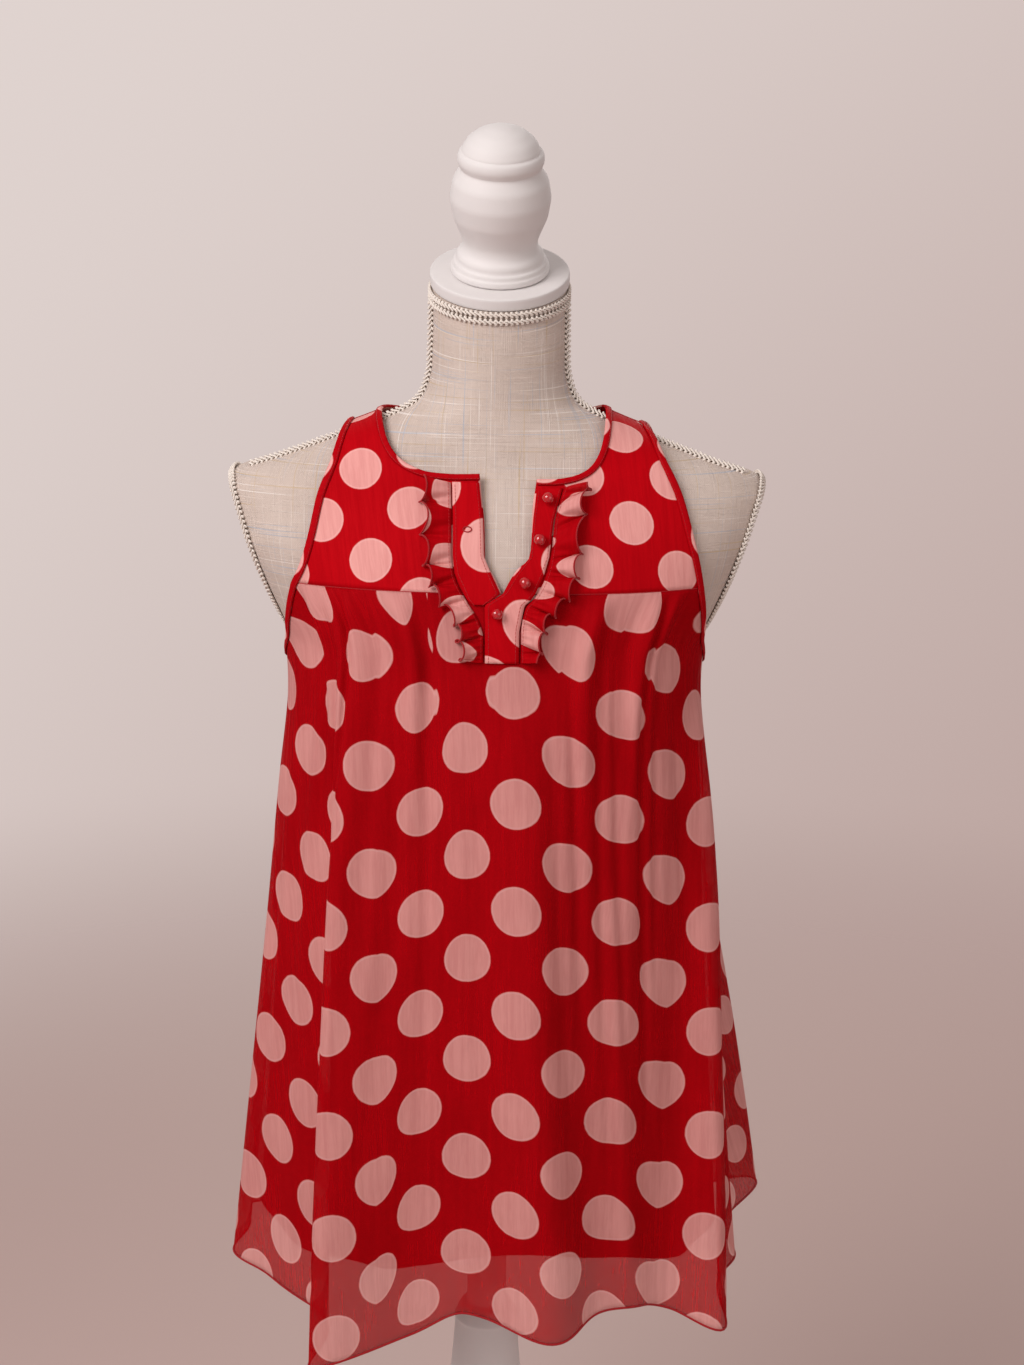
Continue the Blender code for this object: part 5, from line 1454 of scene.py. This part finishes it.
def placket_strip(name, rows):
    """Facing strip beside the opening, a little crowned between its stitched edges."""
    heights = np.array([row.z for row in rows])
    z = np.linspace(heights[0], heights[-1], STRIP_ROWS)
    across = np.linspace(0.0, 1.0, STRIP_COLUMNS)[None, :]
    inner = np.interp(z, heights, [row.inner for row in rows])
    outer = np.interp(z, heights, [row.outer for row in rows])
    x = inner[:, None] + (outer - inner)[:, None] * across
    z = np.broadcast_to(z[:, None], x.shape)
    crown = STRIP_CROWN * (np.sin(math.pi * across) ** STRIP_ROUNDNESS) * np.ones_like(x)
    grid, _ = on_cloth(x, z, TRIM_LIFT + TRIM_CLEARANCE + crown)
    uv = np.stack([x, z], axis=-1)
    strip = cloth(name, grid, uv, "backed_chiffon", thickness=STRIP_WALL)
    lines = []
    for share in STRIP_SEAMS:
        seam_x = inner + (outer - inner) * share
        seam_z = z[:, 0]
        lift = TRIM_LIFT + TRIM_CLEARANCE + STRIP_WALL / 2 + STRIP_CROWN * STRIP_SEAM_CROWN
        lift = np.full_like(seam_x, lift)
        path, out = on_cloth(seam_x, seam_z, lift)
        lines += stitches(path, out, 0.0)
    return strip, lines


def ruffle(name, rows, phase):
    """Gathered frill: pleated small at its sewn edge, waving in and out at its free edge."""
    knots = np.linspace(0.0, 1.0, len(rows))
    share = np.linspace(0.0, 1.0, RUFFLE_ROWS)[:, None]
    across = np.linspace(0.0, 1.0, RUFFLE_COLUMNS)[None, :]
    edges = {field: eased(knots, [getattr(row, field) for row in rows], share) for field in Ruffle._fields}
    pitch, pitch_rate = RUFFLE_PITCH_DRIFT
    wave = 2 * math.pi * RUFFLE_WAVES * share + phase + pitch * np.sin(pitch_rate * share)
    sway = FRILL_SWAY * np.cos(wave) * across ** FRILL_SWAY_GROWTH
    drift, drift_rate = RUFFLE_HEIGHT_DRIFT
    swing = 0.5 + 0.5 * np.sin(wave) * (1 - drift + drift * np.sin(drift_rate * share))
    reach = across * (1 - FRILL_PULL * swing * across)
    x = edges["sewn_x"] + (edges["free_x"] - edges["sewn_x"]) * reach
    z = edges["sewn_z"] + (edges["free_z"] - edges["sewn_z"]) * reach + sway
    slip, slip_rate = GATHER_DRIFT
    gather = 0.5 + 0.5 * np.sin(GATHERS_PER_WAVE * wave + slip * np.sin(slip_rate * share))
    small = GATHER_HEIGHT * gather * np.sin(math.pi * across ** GATHER_REACH)
    lift = TRIM_LIFT + TRIM_CLEARANCE + FRILL_HEIGHT * across ** RUFFLE_RISE * swing + small
    grid, out = on_cloth(x, z, lift)
    length = travelled(grid[:, -1])
    flat_x = edges["sewn_x"] + (edges["free_x"] - edges["sewn_x"]) * across
    uv = np.stack([flat_x, np.broadcast_to(-length[:, None], flat_x.shape)], axis=-1)
    frill = cloth(name, grid, uv, "ruffle_chiffon")
    edge = cords(f"{name}_edge", [grid[:, -1]], OVERLOCK, "edge_thread")
    seam = grid[:, 1] + out[:, 1] * (THIN / 2)
    return frill, edge, stitches(seam, out[:, 1], 0.0)


def binding(name, angle, z, width, inward_sign, closed=False):
    """Bias strip folded over an edge, rounded across, and its row of stitches."""
    path = ring(CLOTH_SECTIONS, angle, z)
    angle, z = back_to_ring(evenly(path, BINDING_STEP, closed))
    path = ring(CLOTH_SECTIONS, angle, z)
    out = outward(CLOTH_SECTIONS, angle, z)
    into = unit(np.cross(out, travel_of(path, closed))) * inward_sign
    rows = []
    for share, lift in BINDING_PROFILE:
        inner_angle, inner_z = back_to_ring(path + into * width * share)
        inner_out = outward(CLOTH_SECTIONS, inner_angle, inner_z)
        rows.append(ring(CLOTH_SECTIONS, inner_angle, inner_z) + inner_out * lift)
    grid = np.stack(rows, axis=0)
    closed_path = np.concatenate([path, path[:1]]) if closed else path
    length = travelled(closed_path)
    shares = np.array([share for share, _ in BINDING_PROFILE]) * width
    uv = np.stack(np.broadcast_arrays(length[None, :], shares[:, None]), axis=-1)
    strip = cloth(name, grid, uv, "bound_chiffon", wrap=closed)
    seam = rows[BINDING_STITCH_ROW] + out * (THIN / 2)
    return strip, stitches(seam, out, 0.0)


def neck_binding():
    """One bias strip from the opening's left edge, round the back, to its right edge."""
    left_end = ridge_place(SHOULDER_INNER_LEFT)
    right_end = ridge_place(SHOULDER_INNER_RIGHT)
    left = edge_on_cloth(along_edge(NECKLINE_LEFT + [left_end], FRONT_NECK_SHARES))
    back = edge_on_cloth(along_edge([left_end] + NECKLINE_BACK + [right_end], BACK_NECK_SHARES), back=True)
    right = edge_on_cloth(along_edge([right_end] + NECKLINE_RIGHT[::-1], 1 - FRONT_NECK_SHARES[::-1]))
    angle = np.concatenate([left[0], back[0][1:], right[0][1:]])
    z = np.concatenate([left[1], back[1][1:], right[1][1:]])
    return binding("neck_binding", angle, z, BINDING_WIDTH, 1.0)


def armhole_binding(name, armhole, shoulder_outer, side):
    """Turned and stitched edge round one armhole."""
    corner = CORNER_LEFT if side < 0 else CORNER_RIGHT
    edge = climb_edge(armhole + [ridge_place(shoulder_outer)])
    front = edge_on_cloth(edge)
    back = edge_on_cloth(edge, back=True)
    under = np.linspace(corner, 180.0 - corner, UNDERARM_STEPS) * side
    angle = np.concatenate([front[0][::-1], under[1:], back[0][1:-1]])
    z = np.concatenate([front[1][::-1], skirt_top(under)[1:], back[1][1:-1]])
    return binding(name, angle, z, ARM_BINDING_WIDTH, -side, closed=True)


def seam_rolls():
    """Rolled seam allowances inside the yoke seam and the shoulder seams."""
    paths = []
    for first, last, steps, back in ((OPENING_LEFT, ARMHOLE_LEFT, SEAM_STEPS, False),
                                     (OPENING_RIGHT, ARMHOLE_RIGHT, SEAM_STEPS, False),
                                     (ARMHOLE_LEFT, ARMHOLE_RIGHT, 2 * SEAM_STEPS, True)):
        x = np.linspace(first[0].x, last[0].x, steps)
        paths.append(on_cloth(x, np.full_like(x, YOKE_SEAM), np.full_like(x, -SEAM_ROLL / 3), back)[0])
    for inner, outer in ((SHOULDER_INNER_LEFT, SHOULDER_OUTER_LEFT),
                         (SHOULDER_INNER_RIGHT, SHOULDER_OUTER_RIGHT)):
        x = np.linspace(inner, outer, SHOULDER_SEAM_STEPS)
        paths.append(np.stack([x, np.zeros_like(x), ridge_height(x)], axis=-1))
    return cords("yoke_seams", paths, SEAM_ROLL, "edge_thread")


def ball_button(index, place):
    """Ball button, a little flattened; returns the path of its wound thread shank."""
    lift = TRIM_LIFT + TRIM_CLEARANCE + TRIM / 2 + SEAM_GAP + BUTTON_RADIUS
    centre, out = on_cloth(np.array(place.x), np.array(place.z), np.array(lift))
    mesh = bpy.data.meshes.new(f"button_{index}")
    ball = bmesh.new()
    bmesh.ops.create_uvsphere(ball, u_segments=BUTTON_SIDES, v_segments=BUTTON_RINGS, radius=BUTTON_RADIUS)
    ball.to_mesh(mesh)
    ball.free()
    turn = Vector(out).to_track_quat("Z", "Y").to_matrix().to_4x4()
    mesh.transform(Matrix.Translation(centre) @ turn @ Matrix.Diagonal((1.0, 1.0, BUTTON_FLATNESS, 1.0)))
    mesh.shade_smooth()
    show(f"button_{index}_ball", mesh, "button_gloss", [f"button_{index}"])
    deep, shallow = SHANK_SPAN
    rise = np.linspace(-BUTTON_RADIUS * deep, -BUTTON_RADIUS * shallow, 3)[:, None]
    return centre + out * rise


def button_loop():
    """Worked thread loop on the left placket strip."""
    angle = np.linspace(0.0, 2 * math.pi, LOOP_STEPS, endpoint=False)
    x = LOOP_PLACE.x + LOOP_HALF_WIDTH * np.cos(angle)
    z = LOOP_PLACE.z + LOOP_HALF_HEIGHT * np.sin(angle)
    path, _ = on_cloth(x, z, np.full_like(x, TRIM_LIFT + TRIM_CLEARANCE + STRIP_CROWN + STRIP_WALL))
    return path


def dress():
    """Every cut piece of the dress, its hems, seams and stitches."""
    sheets, skirt_hem, lining_hem, side_seams = skirt_and_lining()
    for name, *edges_of_yoke in (
            ("front_yoke_left", NECKLINE_LEFT, OPENING_LEFT, ARMHOLE_LEFT,
             SHOULDER_INNER_LEFT, SHOULDER_OUTER_LEFT),
            ("front_yoke_right", NECKLINE_RIGHT, OPENING_RIGHT, ARMHOLE_RIGHT,
             SHOULDER_INNER_RIGHT, SHOULDER_OUTER_RIGHT)):
        sheets[name] = front_yoke(name, *edges_of_yoke)
    sheets["back_yoke"] = back_yoke()
    seams = seam_rolls()
    threads = []
    for name, rows in (("placket_left", PLACKET_LEFT), ("placket_right", PLACKET_RIGHT)):
        sheets[name], lines = placket_strip(name, rows)
        threads += lines
    edges = {}
    for name, rows, phase in (("ruffle_left", RUFFLE_LEFT, RUFFLE_PHASE_LEFT),
                              ("ruffle_right", RUFFLE_RIGHT, RUFFLE_PHASE_RIGHT)):
        sheets[name], edges[name], lines = ruffle(name, rows, phase)
        threads += lines
    sheets["neck_binding"], lines = neck_binding()
    threads += lines
    for name, armhole, outer, side in (
            ("armhole_binding_left", ARMHOLE_LEFT, SHOULDER_OUTER_LEFT, -1.0),
            ("armhole_binding_right", ARMHOLE_RIGHT, SHOULDER_OUTER_RIGHT, 1.0)):
        sheets[name], lines = armhole_binding(name, armhole, outer, side)
        threads += lines
    shanks = [ball_button(index, place) for index, place in enumerate(BUTTONS, start=1)]
    cords("button_shanks", shanks, SHANK, "sewing_thread")
    cords("button_loop", [button_loop()], LOOP_CORD, "edge_thread", closed=True)
    cords("topstitching", threads, THREAD, "sewing_thread", sides=0)


# Form and stand

def form_body():
    """Linen-covered torso and neck, with flat arm plates and a flat underside."""
    angle = np.linspace(-180.0, 180.0, FORM_SIDES, endpoint=False)
    z = np.concatenate([np.linspace(FORM_BOTTOM, PLATE_LOW, FORM_LOW_ROWS)[:-1],
                        np.linspace(PLATE_LOW, NECK_TOP, FORM_HIGH_ROWS)])[:, None]
    spread = np.broadcast_to(angle, (len(z), FORM_SIDES))
    grid = form_point(spread, np.broadcast_to(z, spread.shape))
    across = travelled(np.concatenate([grid, grid[:, :1]], axis=1).swapaxes(0, 1)).T
    across = across - across[:, -1:] / 2
    up = np.broadcast_to(z, across.shape)
    mesh = grid_mesh("form_body", grid, np.stack([across, up], axis=-1), wrap=True)
    last = (len(z) - 1) * FORM_SIDES
    closed_mesh(mesh, [(0, FORM_SIDES, None), (last, FORM_SIDES, None)])
    mesh.set_sharp_from_angle(angle=FORM_EDGE_ANGLE)
    show("form_linen", mesh, "linen", ["form_body"])


def gimp(node, path, out, width, closed=False, rows=1):
    """Looped gimp braid laid along a path: in each row two scrolls that cross over a core cord, coloured
    dark as painted shadow seen through the loops.
    """
    both = evenly(np.concatenate([path, out], axis=-1), GIMP_STEP, closed)
    centre = both[:, :3]
    out = unit(both[:, 3:])
    side = unit(np.cross(travel_of(centre, closed), out))
    count = len(centre)
    turns = max(1, round(count * GIMP_STEP / GIMP_PITCH))
    phase = np.arange(count) / count * turns * 2 * math.pi
    scrolls = []
    shadow_cores = []
    for row in range(rows):
        shift = (row - (rows - 1) / 2) * width / rows
        half = width / rows / 2 - GIMP_CORD
        for turn in (0.0, math.pi):
            sway = np.sin(phase + turn)
            rise = GIMP_CORD * (GIMP_RISE + GIMP_CROSSING * np.cos(phase + turn))
            swirl = GIMP_SWIRL * GIMP_PITCH * np.sin(2 * (phase + turn))
            scrolls.append(centre + side * (shift + half * sway)[:, None] + out * rise[:, None]
                           + travel_of(centre, closed) * swirl[:, None])
        # Core along the row, dark as painted shadow under the loops
        shadow_cores.append(centre + side * shift + out * (GIMP_CORE / 2))
    name = node.replace("braid", "gimp")
    cords(name, scrolls, GIMP_CORD, "gimp_yarn", [node], closed=closed)
    cords(f"{name}_core", shadow_cores, GIMP_CORE, "gimp_core", closed=closed)


def neck_band():
    """Two-row gimp round the top of the neck."""
    angle = np.linspace(0.0, 360.0, NECK_BAND_STEPS, endpoint=False)
    middle = NECK_TOP - SEAM_GAP * 2 - NECK_BAND_HEIGHT / 2
    path = form_point(angle, np.full_like(angle, middle))
    out = unit(path * np.array([1.0, 1.0, 0.0]))
    gimp("braid_neck", path + out * SEAM_GAP, out, NECK_BAND_HEIGHT, closed=True, rows=2)


def shoulder_braid(name, side):
    """Gimp down one side of the neck and along the shoulder ridge."""
    top = NECK_TOP - NECK_BAND_HEIGHT - SHOULDER_BRAID_BAND_GAP
    z = np.linspace(SHOULDER_TIP + SHOULDER_BRAID_TIP_GAP, top, FINE_STEPS)
    angle = np.full_like(z, (90.0 - GIMP_FORWARD) * side)
    path = ring(FORM_SECTIONS, angle, z)
    out = outward(FORM_SECTIONS, angle, z)
    gimp(name, path + out * SEAM_GAP, unit(out - np.array([0.0, GIMP_LEAN, 0.0])), BRAID_WIDTH)


def plate_braid(name, side):
    """Gimp laid round the edge of one arm plate."""
    z = np.linspace(PLATE_LOW, SHOULDER_TIP, FINE_STEPS)
    share = np.clip(plate_x(z) / column(FORM_SECTIONS, "half_width", z), 0.0, 1.0)
    roundness = column(FORM_SECTIONS, "roundness", z)
    reach = (1 - share ** roundness) ** (1 / roundness)
    edge = [(x, y, h) for x, y, h in zip(plate_x(z), -reach * column(FORM_SECTIONS, "front", z), z)]
    edge += [(x, y, h) for x, y, h in zip(plate_x(z), reach * column(FORM_SECTIONS, "back", z), z)][-2:0:-1]
    edge = evenly(np.array(edge), PLATE_BRAID_STEP, closed=True)
    middle = np.array([0.0, 0.0, (PLATE_LOW + SHOULDER_TIP) / 2])
    spread = unit((edge - middle) * np.array([0.0, 1.0, 1.0]))
    out = unit(np.array([PLATE_BRAID_OUT, 0.0, 0.0]) + spread * PLATE_BRAID_SPREAD)
    path = edge + out * SEAM_GAP
    path[:, 0] *= side
    out[:, 0] *= side
    gimp(name, path, out, PLATE_BRAID_WIDTH, closed=True)


def dress_form():
    """Torso, braids and stand."""
    form_body()
    neck_band()
    for side, label in ((-1.0, "left"), (1.0, "right")):
        shoulder_braid(f"braid_shoulder_{label}", side)
        plate_braid(f"braid_plate_{label}", side)
    top = (0.0, 0.0, CAP_TOP)
    turned("finial", FINIAL_TURNING, top, NECK_TILT)
    turned("neck_cap", CAP_TURNING, top, NECK_TILT)
    turned("pole", POLE_TURNING)
    turned("foot", FOOT_TURNING)


dress()
dress_form()


# Stage, light and camera

def floor():
    """Pale round floor that fades out at its rim."""
    rings = np.linspace(0.0, 1.0, FLOOR_RINGS)[:, None] * FLOOR_RADIUS + FLOOR_HOLE
    angle = np.linspace(0.0, 2 * math.pi, FLOOR_SIDES, endpoint=False)
    level = np.full((FLOOR_RINGS, FLOOR_SIDES), -FLOOR_DROP)
    grid = np.stack([rings * np.cos(angle), rings * np.sin(angle), level], axis=-1)
    faces = grid_faces(FLOOR_RINGS, FLOOR_SIDES, wrap=True)
    mesh = bpy.data.meshes.new("floor")
    mesh.from_pydata(grid.reshape(-1, 3).tolist(), [], faces.tolist())
    tree, shader, where = new_material("floor", FLOOR_FINISH)
    apart = tree.nodes.new("ShaderNodeVectorMath")
    apart.operation = "LENGTH"
    feed(tree, apart.inputs[0], where.outputs["Object"])
    feed(tree, shader.inputs["Alpha"], ramp(tree, apart.outputs["Value"], *FLOOR_FADE, 1.0, 0.0))
    shader.inputs["Base Color"].default_value = FLOOR_PALE
    mesh.materials.append(bpy.data.materials["floor"])
    piece = bpy.data.objects.new("floor", mesh)
    bpy.context.scene.collection.objects.link(piece)


def room():
    """Pale wall all round, brighter to the upper left, seen at full strength and lighting softly."""
    world = bpy.data.worlds.new("room")
    bpy.context.scene.world = world
    world.use_nodes = True
    tree = world.node_tree
    tree.nodes.clear()
    where = tree.nodes.new("ShaderNodeTexCoord")
    toward = tree.nodes.new("ShaderNodeVectorMath")
    toward.operation = "DOT_PRODUCT"
    feed(tree, toward.inputs[0], where.outputs["Generated"])
    toward.inputs[1].default_value = Vector(WALL_TOWARD).normalized()
    colour = blend(tree, ramp(tree, toward.outputs["Value"], *WALL_SPAN), WALL_DIM, WALL_LIT)
    path = tree.nodes.new("ShaderNodeLightPath")
    strength = ramp(tree, path.outputs["Is Camera Ray"], 0.0, 1.0, ROOM_STRENGTH, 1.0)
    shine = tree.nodes.new("ShaderNodeBackground")
    feed(tree, shine.inputs["Color"], colour)
    feed(tree, shine.inputs["Strength"], strength)
    output = tree.nodes.new("ShaderNodeOutputWorld")
    tree.links.new(shine.outputs[0], output.inputs["Surface"])


def lamps():
    """Window light from the upper left, a soft fill and a light behind."""
    for lamp in LAMPS:
        light = bpy.data.lights.new(lamp.name, "AREA")
        light.shape = "DISK"
        light.size = lamp.size
        light.energy = lamp.power
        light.color = lamp.colour
        holder = bpy.data.objects.new(lamp.name, light)
        bpy.context.scene.collection.objects.link(holder)
        holder.location = lamp.place
        toward = Vector(lamp.aim) - Vector(lamp.place)
        holder.rotation_euler = toward.to_track_quat("-Z", "Y").to_euler()
        holder.visible_camera = False


def camera():
    """Camera at the photo's height, tilt and framing."""
    forward = Vector((0.0, math.cos(CAMERA_DOWN), -math.sin(CAMERA_DOWN)))
    level_up = Vector((0.0, math.sin(CAMERA_DOWN), math.cos(CAMERA_DOWN)))
    level_right = Vector((1.0, 0.0, 0.0))
    right = math.cos(CAMERA_ROLL) * level_right + math.sin(CAMERA_ROLL) * level_up
    up = -math.sin(CAMERA_ROLL) * level_right + math.cos(CAMERA_ROLL) * level_up
    lens = bpy.data.cameras.new("camera")
    lens.sensor_fit = "VERTICAL"
    lens.sensor_height = SENSOR
    lens.sensor_width = SENSOR
    lens.lens = SENSOR * PHOTO_FOCUS / PHOTO_HEIGHT
    lens.dof.use_dof = False
    holder = bpy.data.objects.new("camera", lens)
    bpy.context.scene.collection.objects.link(holder)
    turn = Matrix((right, up, -forward)).transposed().to_4x4()
    turn.translation = Vector(CAMERA_AIM) - forward * CAMERA_AWAY
    holder.matrix_world = turn
    bpy.context.scene.camera = holder


floor()
room()
lamps()
camera()
bpy.context.scene.view_settings.view_transform = "Standard"
